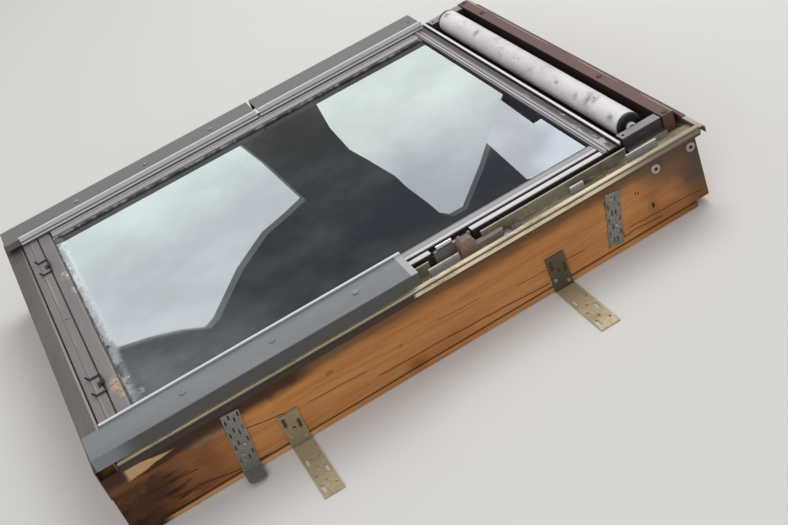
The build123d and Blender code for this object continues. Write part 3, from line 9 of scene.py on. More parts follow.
# %% Load the solids
import bpy
import math
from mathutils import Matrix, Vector


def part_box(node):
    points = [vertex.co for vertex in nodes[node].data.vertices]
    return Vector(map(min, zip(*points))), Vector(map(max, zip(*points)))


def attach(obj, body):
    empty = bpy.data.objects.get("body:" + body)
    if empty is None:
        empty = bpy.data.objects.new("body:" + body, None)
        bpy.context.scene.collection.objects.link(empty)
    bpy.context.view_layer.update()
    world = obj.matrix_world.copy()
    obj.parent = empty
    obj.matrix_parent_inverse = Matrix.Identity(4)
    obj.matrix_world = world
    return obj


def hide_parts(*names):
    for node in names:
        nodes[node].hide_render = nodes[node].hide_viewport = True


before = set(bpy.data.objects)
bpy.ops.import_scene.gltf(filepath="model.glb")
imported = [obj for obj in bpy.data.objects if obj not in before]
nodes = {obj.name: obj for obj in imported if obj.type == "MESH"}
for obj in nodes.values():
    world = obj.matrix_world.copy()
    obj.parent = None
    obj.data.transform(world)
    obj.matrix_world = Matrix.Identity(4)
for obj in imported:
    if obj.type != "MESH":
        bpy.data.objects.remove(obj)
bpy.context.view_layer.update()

# %% [markdown]
# ## Wires and finishes
# A finish is a small machine of shader nodes. Joining each node by hand hides the idea, so one
# class wraps a socket and lets plain arithmetic add the Math nodes: `dust * 0.4 + 0.1` reads as
# what it does. A second class holds one material and has a single method that makes any node.

# %% The socket wrapper
class Wire:
    """A number or colour that runs between shader nodes."""

    def __init__(self, finish, socket):
        self.finish, self.socket = finish, socket

    def math(self, operation, *others):
        return self.finish.node("Math", {"operation": operation}, dict(enumerate((self, *others))))

    def __add__(self, other):
        return self.math("ADD", other)

    def __sub__(self, other):
        return self.math("SUBTRACT", other)

    def __rsub__(self, other):
        return self.finish.node("Math", {"operation": "SUBTRACT"}, {0: other, 1: self})

    def __mul__(self, other):
        return self.math("MULTIPLY", other)

    def __truediv__(self, other):
        return self.math("DIVIDE", other)

    def __rtruediv__(self, other):
        return self.finish.node("Math", {"operation": "DIVIDE"}, {0: other, 1: self})

    def __abs__(self):
        return self.math("ABSOLUTE")

    __radd__, __rmul__ = __add__, __mul__

    def most(self, other):
        return self.math("MAXIMUM", other)

    def least(self, other):
        return self.math("MINIMUM", other)

    def ramp(self, low, high):
        """0 below low, 1 above high, smooth between them; high may be the smaller one."""
        flip = low > high
        settings = {"interpolation_type": "SMOOTHSTEP", "clamp": True}
        ends = {"From Min": min(low, high), "From Max": max(low, high),
                "To Min": 1.0 if flip else 0.0, "To Max": 0.0 if flip else 1.0}
        return self.finish.node("MapRange", settings, {"Value": self, **ends})

    def within(self, low, high, soft):
        """1 between two values and 0 outside them."""
        return self.ramp(low - soft, low + soft) * self.ramp(high + soft, high - soft)

    def line(self, place, width):
        """1 at one value, falling to 0 on both sides of it."""
        return abs(self - place).ramp(width, width * 0.4)


# %% The material maker
def paint(red, green, blue):
    """A screen colour from 0 to 255, as the linear colour that shaders use."""
    def linear(v):
        return ((v / 255 + 0.055) / 1.055) ** 2.4 if v > 10 else v / 3294.6
    return linear(red), linear(green), linear(blue), 1.0


class Finish:
    """One material and the nodes in it."""

    def __init__(self, name):
        self.material = bpy.data.materials.new(name)
        self.material.use_nodes = True
        self.tree = self.material.node_tree
        self.shader = self.tree.nodes["Principled BSDF"]
        self.kept = {}

    def node(self, kind, settings=None, sockets=None, out=0):
        made = self.tree.nodes.new("ShaderNode" + kind)
        for key, value in (settings or {}).items():
            setattr(made, key, value)
        for key, value in (sockets or {}).items():
            self.set(made, key, value)
        return Wire(self, made.outputs[out])

    def set(self, node, key, value):
        if isinstance(value, Wire):
            self.tree.links.new(value.socket, node.inputs[key])
        elif value is not None:
            node.inputs[key].default_value = value

    def dress(self, **values):
        """Sets the sockets of the main shader; underscores stand for spaces."""
        for key, value in values.items():
            self.set(self.shader, key.replace("_", " "), value)
        return self.material

    def place(self, scale=(1, 1, 1), shift=(0, 0, 0)):
        """Object coordinates in metres, stretched by a scale."""
        here = self.node("TexCoord", out=3)
        return self.node("Mapping", None, {"Vector": here, "Scale": scale, "Location": shift})

    def split(self, output, name):
        if (output, name) not in self.kept:
            whole = {"Vector": self.node("TexCoord", out=output)}
            self.kept[output, name] = self.node("SeparateXYZ", None, whole, out="XYZ".index(name))
        return self.kept[output, name]

    def axis(self, name):
        """One of the piece's own coordinates, in metres."""
        return self.split(3, name)

    def facing(self, name):
        """How far the surface faces along one of the piece's own axes, from -1 to 1."""
        return self.split(1, name)

    def noise(self, scale, stretch=(1, 1, 1), detail=4.0, rough=0.55, bend=0.0, shift=(0, 0, 0)):
        sockets = {"Vector": self.place(stretch, shift), "Scale": scale, "Detail": detail,
                   "Roughness": rough, "Distortion": bend}
        return self.node("TexNoise", None, sockets)

    def specks(self, scale):
        """Distance to the nearest of many scattered points."""
        return self.node("TexVoronoi", None, {"Vector": self.place(), "Scale": scale})

    def blend(self, factor, below, above):
        """A colour that goes from one to the other as factor goes from 0 to 1."""
        made = self.tree.nodes.new("ShaderNodeMix")
        made.data_type = "RGBA"
        for key, value in ((0, factor), (6, below), (7, above)):
            self.set(made, key, value)
        return Wire(self, made.outputs[2])

    def bump(self, height, distance, strength):
        return self.node("Bump", None, {"Height": height, "Distance": distance, "Strength": strength})

    def near(self, x, y, z, inside, outside, scale=(1, 1, 1)):
        """1 within a distance of a point, 0 past another distance."""
        centre = (x * scale[0], y * scale[1], z * scale[2])
        ends = {0: self.place(scale), 1: centre}
        away = self.node("VectorMath", {"operation": "DISTANCE"}, ends, out=1)
        return away.ramp(outside, inside)


def wear(finish_material, *names):
    """Gives a finish to CAD nodes."""
    for name in names:
        nodes[name].data.materials.clear()
        nodes[name].data.materials.append(finish_material)


print("shader tools ready")

# %% [markdown]
# ## Stained pine
# The members are pine. Growth lines run along the grain as soft bands, with finer fibre on them.
# A wood picture would repeat; noise that is stretched along the grain gives lines of any length.
# One function makes the plain timber, and the side members get their own weather on top.

# %% Places on the timber
MIDDLE = 0.50425               # from the lower end of the timber up to Y = 0
OUTER_FACE = 0.388             # X just inside the outer face of the side members
GROOVE = 0.011                 # height of the long groove in that face


def slope(value):
    """A place in mm from the lower end of the timber, as a Y coordinate in metres."""
    return value / 1000 - MIDDLE


print("timber from Y =", round(slope(0), 4), "to", round(slope(990), 4))

# %% Timber
SASH_DARK_FROM, FRAME_DARK_FROM = 0.104, 0.088    # above these heights the timber is dark with dirt and painted shade


def grain(f, along, light, dark, patch):
    """Colour and height of pine, with the grain along X or Y."""
    fine = (8, 0.35, 8) if along == "Y" else (0.35, 8, 8)
    coarse = (5, 0.20, 5) if along == "Y" else (0.20, 5, 5)
    wide = (1.6, 0.5, 1.6) if along == "Y" else (0.5, 1.6, 1.6)
    rings = f.noise(7.0, coarse, 3.0, 0.5, 0.7)
    lines = f.node("Math", {"operation": "SINE"}, {0: rings * 58.0}) * 0.5 + 0.5
    fibre = f.noise(60.0, fine, 5.0, 0.72)
    cloud = f.noise(3.4, wide, 4.0, 0.6)
    tone = f.blend((lines * 0.12 + fibre * 0.34 + cloud * 0.54).ramp(0.26, 0.80), light, dark)
    tone = f.blend(f.noise(9.0, wide, 4.0, 0.6).ramp(0.50, 0.72) * 0.4, tone, patch)
    return tone, lines * 0.3 + fibre * 0.7, fibre


def timber(name, along, light, dark, dark_from):
    """Pine that is dark with dirt and painted shade above a height, under the trims."""
    f = Finish(name)
    tone, height, fibre = grain(f, along, light, dark, dark)
    # Dirt and painted shade above the height where the trims overhang
    tone = f.blend(f.axis("Z").ramp(dark_from, dark_from + 0.012) * 0.9, tone, paint(42, 32, 26))
    return f.dress(Base_Color=tone, Roughness=fibre * 0.15 + 0.5, Specular_IOR_Level=0.35,
                   Normal=f.bump(height, 0.0004, 0.4))


VARNISHED = (paint(206, 158, 100), paint(172, 120, 68), SASH_DARK_FROM)
STAINED = (paint(176, 122, 76), paint(126, 78, 44), FRAME_DARK_FROM)
wear(timber("varnished_pine_sides", "Y", *VARNISHED), "sash_stile_right", "sash_stile_left")
wear(timber("varnished_pine_rails", "X", *VARNISHED), "sash_top_rail", "sash_bottom_rail",
     "vent_flap")
wear(timber("stained_pine_ends", "X", *STAINED), "head", "sill")
print("plain timber finishes:", 3)

# %% [markdown]
# ## Weather on the side members
# Rain runs out from under the trim and the trim shades it, so the top of the side is dark with
# damp and painted shade. The lower end is rotten, the upper end is grey, and long cracks follow
# the grain. Each mark is a soft mask at its own place, laid over the grain one after another,
# like washes of paint.

# %% Places of the marks, in mm along the slope and above the room side
# Each crack: start, end and width. Each drip: its place and size
CRACKS = (((69, 33), (125, 26), 1.5), ((125, 26), (185, 14), 1.6), ((185, 14), (249, 11), 1.5),
          ((409, 34), (523, 30), 1.1), ((523, 30), (613, 25), 1.3), ((613, 25), (700, 20), 1.5),
          ((200, 74), (262, 62), 1.2), ((300, 58), (392, 52), 0.8), ((806, 20), (852, 25), 1.4),
          ((852, 25), (906, 22), 1.2), ((848, 34), (980, 27), 1.0), ((30, 64), (120, 55), 1.6),
          ((44, 46), (96, 41), 1.8), ((520, 66), (590, 62), 0.7), ((650, 48), (770, 40), 0.8))
DRIPS = ((468, 16, 16), (455, 60, 4), (345, 83, 6))
TICKS = ((872.5, 83), (877, 80.5))
WASHERS = ((915, 103), (979, 105.5))
# Fixing metal, and how far the dirt and painted shade behind it stay inside its edges
BACKED = (("straps_lower", 0.007), ("straps_upper", 0.0115), ("angle_brackets_lower", 0.003),
          ("angle_brackets_upper", 0.003))
print("cracks:", len(CRACKS))

# %% Cracks
def cracked(f):
    """1 along each crack of the outer face."""
    wander = (f.noise(30.0, (0.2, 1, 0.2), 2.0) - 0.5) * 0.005
    found = None
    for (y0, z0), (y1, z1), width in CRACKS:
        along = (f.axis("Y") - slope(y0)) / ((y1 - y0) / 1000)
        off = f.axis("Z") + wander - (along * ((z1 - z0) / 1000) + z0 / 1000)
        crack = off.line(0, width / 1000) * along.within(0.0, 1.0, 0.03)
        found = crack if found is None else found.most(crack)
    return found * abs(f.axis("X")).ramp(OUTER_FACE - 0.0012, OUTER_FACE - 0.0002)


print("crack function ready")

# %% [markdown]
# A wash takes the tone so far and gives back the tone with its own marks on top. `ragged` is a
# noise in metres that frays the edge of a wash, and `blot` is one that breaks it up inside.

# %% Lower end
def reddened(f, tone, ragged):
    """Reddish brown towards the lower end, and in soft patches all along."""
    near_end = (f.axis("Y") + ragged * 3).ramp(slope(235), slope(120))
    tone = f.blend(near_end * 0.75, tone, paint(108, 62, 36))
    patches = f.noise(5.0, (1, 0.6, 1.6), 4.0, 0.6, 0.0, (2, 1, 0)).ramp(0.50, 0.68)
    return f.blend(patches * 0.45, tone, paint(150, 86, 40))


def rotten(f, tone, rot, blot):
    """Nearly black wood at the end itself, with splits that run into the sound wood."""
    tone = f.blend(rot * blot.ramp(0.30, 0.55) * 0.85, tone, paint(50, 33, 23))
    splits = f.noise(46.0, (1, 0.16, 1), 4.0, 0.6).ramp(0.51, 0.58)
    splits = splits * f.axis("Y").ramp(slope(165), slope(80))
    return f.blend(splits * 0.8, tone, paint(36, 25, 18))


def splinter(f, ragged):
    """1 on the pale wedge where a splinter broke off under the trim."""
    wedge = abs(f.axis("Z") - 0.1065) + (f.axis("Y") - slope(30)) * 0.14 + ragged * 0.35
    return wedge.ramp(0.0125, 0.0100) * f.axis("Y").within(slope(32), slope(112), 0.004)


print("washes of the lower end ready")

# %% Under the trim and at the upper end
def damp_and_shade_top(f, tone, ragged, dry):
    """Damp and painted shade under the trim, deepest over the lower half; dry says where it doesn't
    reach.
    """
    y, z = f.axis("Y"), f.axis("Z")
    damp_and_shade = (z + ragged * 0.55).ramp(0.091, 0.111)
    deep_damp_and_shade = (z + ragged * 0.8).ramp(0.088, 0.104) * y.ramp(slope(345), slope(290))
    # Damp and painted shade below the trim, darkest over the lower half
    tone = f.blend(damp_and_shade * (1 - dry) * 0.76, tone, paint(84, 60, 44))
    tone = f.blend(deep_damp_and_shade * (1 - dry) * 0.88, tone, paint(58, 39, 28))
    olive = damp_and_shade * f.noise(12.0, (1, 0.6, 1), 3.0, 0.6, 0.0, (4, 0, 0)).ramp(0.50, 0.62)
    return f.blend(olive * 0.45, tone, paint(96, 92, 62))


def grey_end(f, tone, ragged, blot):
    """Grey-brown and sooty upper end, with a dark halo round each washer."""
    y, z = f.axis("Y"), f.axis("Z")
    upper = y.ramp(slope(868), slope(925)) * (z + ragged).ramp(0.062, 0.092)
    tone = f.blend(upper * 0.72, tone, paint(96, 77, 64))
    tone = f.blend(y.ramp(slope(850), slope(905)) * 0.25, tone, paint(104, 70, 40))
    tone = f.blend(y.ramp(slope(935), slope(985)) * 0.75, tone, paint(92, 62, 38))
    sooty = (y + ragged).ramp(slope(922), slope(962)) * (z + ragged).ramp(0.030, 0.056)
    tone = f.blend(sooty * (blot.ramp(0.30, 0.55) * 0.5 + 0.3), tone, paint(78, 70, 62))
    for at, high in WASHERS:
        halo = f.near(OUTER_FACE, slope(at), high / 1000, 0.008, 0.024, (0, 1, 1))
        tone = f.blend(halo * blot.ramp(0.35, 0.6) * 0.6, tone, paint(66, 52, 44))
    return tone


print("washes of the top ready, washers:", len(WASHERS))

# %% Small marks
def small_marks(f, tone):
    """The rubbed lower edge, a knot with its ring, two dark ticks and some brown drips."""
    lip = f.axis("Z").ramp(GROOVE - 0.0015, GROOVE - 0.0035)
    lip = lip * f.axis("Y").within(slope(52), slope(300), 0.012)
    tone = f.blend(lip * 0.7, tone, paint(206, 158, 110))
    ring = f.near(0, slope(895), 0.047, 0.004, 0.017, (0, 1.15, 0.62))
    tone = f.blend(ring * 0.35, tone, paint(118, 74, 34))
    heart = f.near(0, slope(895.5), 0.047, 0.0014, 0.0036, (0, 1.0, 0.50))
    tone = f.blend(heart, tone, paint(60, 36, 14))
    for at, high in TICKS:
        tick = f.near(0, slope(at), high / 1000, 0.0006, 0.0018, (0, 1, 0.4))
        tone = f.blend(tick, tone, paint(96, 40, 26))
    for at, high, size in DRIPS:
        drip = f.near(0, slope(at), high / 1000, size / 5000, size / 1000, (0, 0.6, 1))
        tone = f.blend(drip * 0.55, tone, paint(104, 58, 28))
    return tone


def behind_metal(f, tone):
    """Rain leaves its dirt behind the straps, with painted shade over it, and both show dark in their
    slots.
    """
    for name, inset in BACKED:
        (_, y0, _), (_, y1, z1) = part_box(name)
        dirt_and_shade_behind = f.axis("Y").within(y0 + inset, y1 - inset, 0.001)
        dirt_and_shade_behind = dirt_and_shade_behind * f.axis("Z").within(0.026, z1 - inset, 0.001)
        # Dirt and painted shade behind the metal
        tone = f.blend(dirt_and_shade_behind * 0.8, tone, paint(66, 50, 40))
    return tone


print("ticks:", len(TICKS), "drips:", len(DRIPS), "metal pieces backed:", len(BACKED))

# %% The whole side, wash upon wash
def weathered_side():
    f = Finish("stained_pine_sides")
    y, z, out = f.axis("Y"), f.axis("Z"), abs(f.axis("X"))
    plain_tone, height, fibre = grain(f, "Y", paint(202, 141, 84), paint(158, 102, 56),
                                      paint(150, 90, 47))
    ragged = (f.noise(22.0, (1, 0.7, 1), 4.0, 0.6) - 0.5) * 0.030
    blot = f.noise(16.0, (1, 0.8, 1), 5.0, 0.62)
    rot = (y + ragged * 2).ramp(slope(120), slope(50)) * (z + ragged).ramp(0.100, 0.080)
    tone = rotten(f, reddened(f, plain_tone, ragged), rot, blot)
    fresh = splinter(f, ragged)
    tone = f.blend(fresh, tone, paint(186, 152, 108))
    # Scuffed grey where the first strap was fixed
    scuff = f.near(OUTER_FACE, slope(150), 0.098, 0.004, 0.034, (0, 0.8, 1.6))
    tone = f.blend(scuff * blot.ramp(0.35, 0.6) * 0.8, tone, paint(132, 114, 98))
    tone = grey_end(f, damp_and_shade_top(f, tone, ragged, fresh), ragged, blot)
    tone = behind_metal(f, small_marks(f, tone))
    cracks = cracked(f)
    tone = f.blend(cracks * 0.85, tone, paint(62, 34, 16))
    groove = z.line(GROOVE, 0.0022) * out.ramp(OUTER_FACE - 0.008, OUTER_FACE - 0.002)
    tone = f.blend(groove * 0.8, tone, paint(62, 36, 18))
    # The weather is on the outside: the room side keeps its plain varnish
    outside = out.ramp(OUTER_FACE - 0.022, OUTER_FACE - 0.004)
    tone = f.blend(outside, plain_tone, tone)
    return f.dress(Base_Color=tone, Roughness=fibre * 0.15 + 0.72, Specular_IOR_Level=0.22,
                   Normal=f.bump(height - cracks * 2.0 - rot * blot * outside * 3.0, 0.0007, 0.5))


wear(weathered_side(), "jamb_right", "jamb_left")
print("weathered sides done")

# %% [markdown]
# ## Dusty lacquered aluminium
# Trims, cladding and covers are rolled aluminium with a grey lacquer. Dust lies on what faces up
# and dirt dries in streaks. The tops get painted highlights and the gutters painted shade with
# soot. The piece's own normal tells up from down, so the dust moves with a sash that swings. Each
# trim then gets its own touches, passed in as a small function, because they share all the rest.

# %% Lacquer
# Painted shade with soot, for channels, gutters and the faces below a top
SHADE_AND_SOOT = paint(34, 30, 28)


def lacquer(name, body, dust, amount, along="Y", shine=0.45, touch=None):
    f = Finish(name)
    stretch = (1, 0.25, 1) if along == "Y" else (0.25, 1, 1)
    cloud = f.noise(7.0, stretch, 5.0, 0.6)
    grit = f.noise(240.0, (1, 1, 1), 3.0, 0.7)
    run = f.noise(38.0, stretch, 4.0, 0.65)
    up = f.facing("Z").ramp(0.3, 0.95)
    settled = cloud.ramp(0.30, 0.68) * 0.65 + run.ramp(0.45, 0.70) * 0.25 + grit.ramp(0.50, 0.75) * 0.35
    settled = (settled * (up * 0.75 + 0.25) * amount).least(1.0)
    colour = f.blend(settled, body, dust)
    scratch = f.noise(60.0, (0.6, 8, 8) if along == "X" else (8, 0.6, 8), 2.0, 0.4).ramp(0.66, 0.70)
    colour = f.blend(scratch * 0.12, colour, paint(196, 194, 190))
    if touch:
        colour = touch(f, colour, run)
    return f.dress(Base_Color=colour, Roughness=(settled * 0.35 + shine).least(0.9),
                   Specular_IOR_Level=0.5, Normal=f.bump(grit * settled + run * 0.2, 0.0003, 0.35))


print("lacquer function ready")

# %% [markdown]
# ## Side covers
# The covers are folded sheet. Their outer sides are painted dark as shade, the lip next to the
# glass has a painted highlight as a bright line, and the near end where two covers met is paler.
# The far ones are browner. The inner sides have a painted reflection of the sky, with a dark seam
# of painted shade and soot.

# %% Covers
(cover_in, _, _), (cover_out, _, cover_top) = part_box("lower_cover_right")
JOINT = (508.5, 519.5)         # mm along the slope, where two covers met
SEAM, FOOT = 0.1545, 0.1500    # heights of the seam and of the dark foot on the inner side, in painted shade and soot


def cover_marks(f, colour, run):
    out, y, z = abs(f.axis("X")), f.axis("Y"), f.axis("Z")
    colour = f.blend(f.axis("X").ramp(0.1, -0.1) * 0.75, colour, paint(112, 105, 99))
    # Painted shade on the outer sides, below their top edge
    shaded_outer_side = out.ramp(cover_out - 0.0020, cover_out - 0.0008)
    shaded_outer_side = shaded_outer_side * z.ramp(cover_top - 0.0044, cover_top - 0.0060)
    colour = f.blend(shaded_outer_side * y.ramp(slope(25), slope(75)) * 0.92, colour, paint(68, 64, 59))
    joint = y.within(slope(JOINT[0]), slope(JOINT[1]), 0.0006)
    joint = joint * f.axis("X").ramp(0, 0.1) * (1 - shaded_outer_side)
    colour = f.blend(joint * 0.8, colour, paint(190, 188, 188))
    inner = out.ramp(cover_in + 0.0014, cover_in + 0.0006)
    seam = z.line(SEAM, 0.0016).most(z.ramp(FOOT, FOOT - 0.0010))
    # Painted reflection of the sky on the inner sides, in streaks
    colour = f.blend(inner * run.ramp(0.15, 0.4), colour, paint(226, 224, 226))
    # Painted shade and soot along the seam and the foot of the inner side
    colour = f.blend(inner * seam * 0.92, colour, SHADE_AND_SOOT)
    # Painted highlight along the lip next to the glass
    lip = out.ramp(cover_in + 0.0049, cover_in + 0.0039)
    lip = lip * z.ramp(cover_top - 0.0022, cover_top - 0.0008)
    return f.blend(lip, colour, paint(224, 226, 228))


covers = lacquer("cover_lacquer", paint(116, 120, 124), paint(150, 152, 152), 0.75, "Y", 0.42,
                 cover_marks)
wear(covers, "lower_cover_right", "lower_cover_left", "upper_cover_left")
print("cover width:", round(cover_out - cover_in, 4), "top:", round(cover_top, 4))

# %% [markdown]
# ## Trims of the sash
# These profiles have ribs, flats and narrow channels. Seen from the side they read as bright
# lines with black lines between: the tops have painted highlights where they mirror the sky, and
# the channels have painted shade with soot. Height tells a top from what lies below it, so the
# lines follow the real shape.

# %% Side trims of the sash
TRIM_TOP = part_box("sash_trim_right")[1][2]
BEAD = 0.3262                  # X of the bead with a painted highlight, from the middle of the window
CHANNELS = ((0.3080, 0.0011), (0.3135, 0.0007), (0.3205, 0.0010))    # X and half width of the channels, painted dark as shade


def side_trim_lines(f, colour, run):
    out, z = abs(f.axis("X")), f.axis("Z")
    # Painted highlights: the tops mirror the sky, paler past the bead
    sky_highlight = f.blend(out.ramp(BEAD + 0.0013, BEAD - 0.0002), paint(226, 219, 216), paint(176, 173, 174))
    lit_tops = z.ramp(TRIM_TOP - 0.0020, TRIM_TOP - 0.0008)
    colour = f.blend(lit_tops * (run.ramp(0.2, 0.5) * 0.3 + 0.7), colour, sky_highlight)
    colour = f.blend(out.line(BEAD, 0.0012) * 0.8, colour, paint(232, 230, 232))
    # Painted shade in the channels
    for place, width in CHANNELS:
        colour = f.blend(out.line(place, width) * 0.8, colour, paint(70, 66, 68))
    # Painted shade and soot on the side of the bead below its top
    low = z.ramp(TRIM_TOP - 0.0020, TRIM_TOP - 0.0032) * out.ramp(BEAD - 0.0004, BEAD + 0.0002)
    return f.blend(low * 0.95, colour, SHADE_AND_SOOT)


side_trim = lacquer("sash_side_lacquer", paint(126, 120, 120), paint(160, 154, 150), 0.6, "Y", 0.34,
                    side_trim_lines)
wear(side_trim, "sash_trim_right", "sash_trim_left")
print("channels on each side trim:", len(CHANNELS), "top:", round(TRIM_TOP, 4))

# %% Top trim of the sash
FLAT, RIB = 0.1445, 0.1472     # heights at which its flat and its two ribs begin


def top_trim_lines(f, colour, run):
    y, z = f.axis("Y"), f.axis("Z")
    # The flat goes from pale to painted shade away from the glass, with crumbs near one end
    flat_and_shade = f.blend(y.ramp(slope(870.5), slope(878)), paint(176, 169, 170), paint(66, 60, 59))
    crumbs = f.noise(80.0, (0.5, 1, 1), 5.0, 0.7).ramp(0.55, 0.63) * f.axis("X").ramp(-0.05, 0.28)
    flat_and_shade = f.blend(crumbs * 0.8, flat_and_shade, paint(190, 184, 180))
    colour = f.blend(z.ramp(FLAT - 0.0003, FLAT + 0.0003), colour, flat_and_shade)
    # Painted highlight along the edge of the flat
    edge = y.line(slope(869.6), 0.0013) * z.ramp(FLAT - 0.0001, FLAT + 0.0004)
    colour = f.blend(edge, colour, paint(232, 226, 228))
    # The rib next to the glass is grey with a dark line, the outer rib has a painted highlight
    rib = z.ramp(RIB - 0.0004, RIB + 0.0004)
    colour = f.blend(rib * y.ramp(slope(872), slope(870)), colour, paint(178, 171, 174))
    colour = f.blend(y.line(slope(862.6), 0.0009) * rib, colour, paint(70, 64, 66))
    colour = f.blend(rib * y.ramp(slope(882), slope(884)), colour, paint(232, 226, 228))
    # Painted shade and soot beside the glass and below the flat
    colour = f.blend(y.ramp(slope(860.3), slope(859.4)) * 0.9, colour, SHADE_AND_SOOT)
    return f.blend(z.ramp(FLAT - 0.0001, FLAT - 0.0007) * 0.95, colour, SHADE_AND_SOOT)


top_trim = lacquer("sash_top_lacquer", paint(104, 98, 98), paint(150, 143, 140), 0.6, "X", 0.36,
                   top_trim_lines)
wear(top_trim, "sash_trim_top")
print("top trim: flat at", FLAT, "ribs at", RIB)

# %% Lower trim of the sash
TOE_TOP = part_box("sash_trim_bottom")[1][2]
# Each splash: X, mm along the slope, size in metres, colour
SPLASHES = ((0.232, 79, 0.032, paint(196, 168, 128)), (0.262, 84, 0.022, paint(186, 160, 124)),
            (-0.150, 80, 0.022, paint(214, 210, 196)), (-0.090, 84, 0.018, paint(208, 206, 196)))


def toe_trim_lines(f, colour, run):
    y, z = f.axis("Y"), f.axis("Z")
    colour = f.blend(y.line(slope(44), 0.0010) * 0.7, colour, paint(84, 76, 76))
    colour = f.blend(y.line(slope(47), 0.0016) * run.ramp(0.4, 0.6) * 0.5, colour, paint(176, 170, 168))
    inner_edge = y.ramp(slope(79), slope(85)) * run.ramp(0.35, 0.55)
    colour = f.blend(inner_edge * 0.6, colour, paint(184, 180, 172))
    ragged = f.noise(90.0, (1, 1, 1), 5.0, 0.65).ramp(0.40, 0.54)
    for place, high, size, tone in SPLASHES:
        spot = f.near(place, slope(high), TOE_TOP - 0.0005, size * 0.2, size, (1, 1.6, 1))
        colour = f.blend(spot * ragged, colour, tone)
    # Painted shade and soot on the faces below its top
    return f.blend(z.ramp(TOE_TOP - 0.0009, TOE_TOP - 0.0017) * 0.9, colour, SHADE_AND_SOOT)


toe_trim = lacquer("sash_toe_lacquer", paint(118, 109, 109), paint(152, 143, 139), 0.7, "X", 0.40,
                   toe_trim_lines)
wear(toe_trim, "sash_trim_bottom")
print("splashes:", len(SPLASHES))

# %% [markdown]
# ## Trims of the frame
# The edge trim has a rail beside the sash, a wide recess, a ridge, a gutter and the thin lip of
# its outer face. What stands up is pale and warm with grit and painted sunlight; the recess holds
# olive-brown dirt and fibres, and the gutter is black with painted shade. The outer face is dark
# with dirt and painted shade and has a painted highlight along its top edge; below the joint of
# the covers the face is darker and its edge is dark too.

# %% Edge trims
RAIL, RIDGE, GUTTER, FACE = (0.3541, 0.3560), (0.3796, 0.3874), (0.3872, 0.3886), 0.3886    # X
RIDGE_TOP, RAIL_TOP = 0.1290, 0.1402     # heights just under the tops of the ridge and the rail
LIT_EDGE = 0.1216                        # height above which the outer face has a painted highlight


def ridge_lines(f, colour, run):
    out, y, z = abs(f.axis("X")), f.axis("Y"), f.axis("Z")
    low = z.ramp(RIDGE_TOP - 0.001, RIDGE_TOP - 0.005)
    soil = f.noise(26.0, (1, 0.5, 1), 5.0, 0.65)
    fibre = f.noise(70.0, (1, 0.35, 1), 4.0, 0.6, 2.0)
    colour = f.blend(soil.ramp(0.44, 0.68) * 0.75, colour, paint(84, 74, 57))
    loose = fibre.ramp(0.54, 0.62) * (y.ramp(slope(560), slope(760)) * 0.6 + 0.4) * low
    colour = f.blend(loose * 0.7, colour, paint(196, 189, 170))
    upper = y.ramp(slope(880), slope(930)) * low
    colour = f.blend(upper * soil.ramp(0.38, 0.55) * 0.6, colour, paint(146, 138, 126))
    # Painted sunlight: the tops of the ridge and face are pale and warm, duller towards the ends
    sunlit_highlight = f.blend(y.ramp(slope(850), slope(950)) * 0.75, paint(240, 220, 186), paint(150, 134, 112))
    sunlit_highlight = f.blend(y.ramp(slope(480), slope(440)) * 0.5, sunlit_highlight, paint(196, 172, 156))
    patchy = run.ramp(0.30, 0.52) * soil.ramp(0.66, 0.50) * 0.6 + 0.4
    ridge_highlight = out.within(*RIDGE, 0.0003) * z.ramp(RIDGE_TOP - 0.0012, RIDGE_TOP)
    colour = f.blend(ridge_highlight * patchy, colour, sunlit_highlight)
    # Painted shade in the gutter
    gutter = out.within(*GUTTER, 0.0002) * z.ramp(RIDGE_TOP - 0.0002, RIDGE_TOP - 0.0012)
    colour = f.blend(gutter, colour, paint(50, 40, 30))
    # The outer face is dark brown with dirt and painted shade, darker below the joint of the covers
    face = out.ramp(FACE - 0.0002, FACE + 0.0002)
    face_tone = f.blend(y.ramp(slope(520), slope(500)), paint(78, 56, 38), paint(52, 38, 30))
    colour = f.blend(face, colour, face_tone)
    lit = face * z.ramp(LIT_EDGE - 0.0016, LIT_EDGE) * y.ramp(slope(499), slope(507))
    lit = lit * (1 - y.ramp(slope(800), slope(900)) * 0.6)
    colour = f.blend(lit * patchy, colour, sunlit_highlight)
    # Painted highlight on the top of the rail
    rail_highlight = z.ramp(RAIL_TOP - 0.0010, RAIL_TOP) * out.ramp(RAIL[1] + 0.0005, RAIL[1])
    colour = f.blend(rail_highlight * 0.85, colour, paint(212, 204, 192))
    # Painted shade and soot inside the rail
    inside = out.ramp(RAIL[0], RAIL[0] - 0.0003) * z.ramp(RAIL_TOP - 0.0010, RAIL_TOP - 0.0022)
    return f.blend(inside * 0.85, colour, SHADE_AND_SOOT)


ridges = lacquer("ridge_lacquer", paint(136, 126, 104), paint(158, 148, 126), 0.9, "Y", 0.55,
                 ridge_lines)
wear(ridges, "edge_trim_right", "edge_trim_left")
print("ridge at", RIDGE_TOP, "rail at", RAIL_TOP)

# %% Head trim, head plate and cladding
head_top, plate_top, brow_top = (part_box(n)[1][2] for n in ("head_trim", "head_plate", "sill_cladding"))


def head_lines(f, colour, run):
    z = f.axis("Z")
    # Painted highlight along the top edge
    top = z.ramp(head_top - 0.0016, head_top - 0.0006) * (run.ramp(0.25, 0.5) * 0.5 + 0.4)
    colour = f.blend(top, colour, paint(196, 178, 164))
    # Painted shade on the face below the top
    return f.blend(z.ramp(head_top - 0.004, head_top - 0.008) * 0.5, colour, paint(58, 48, 38))


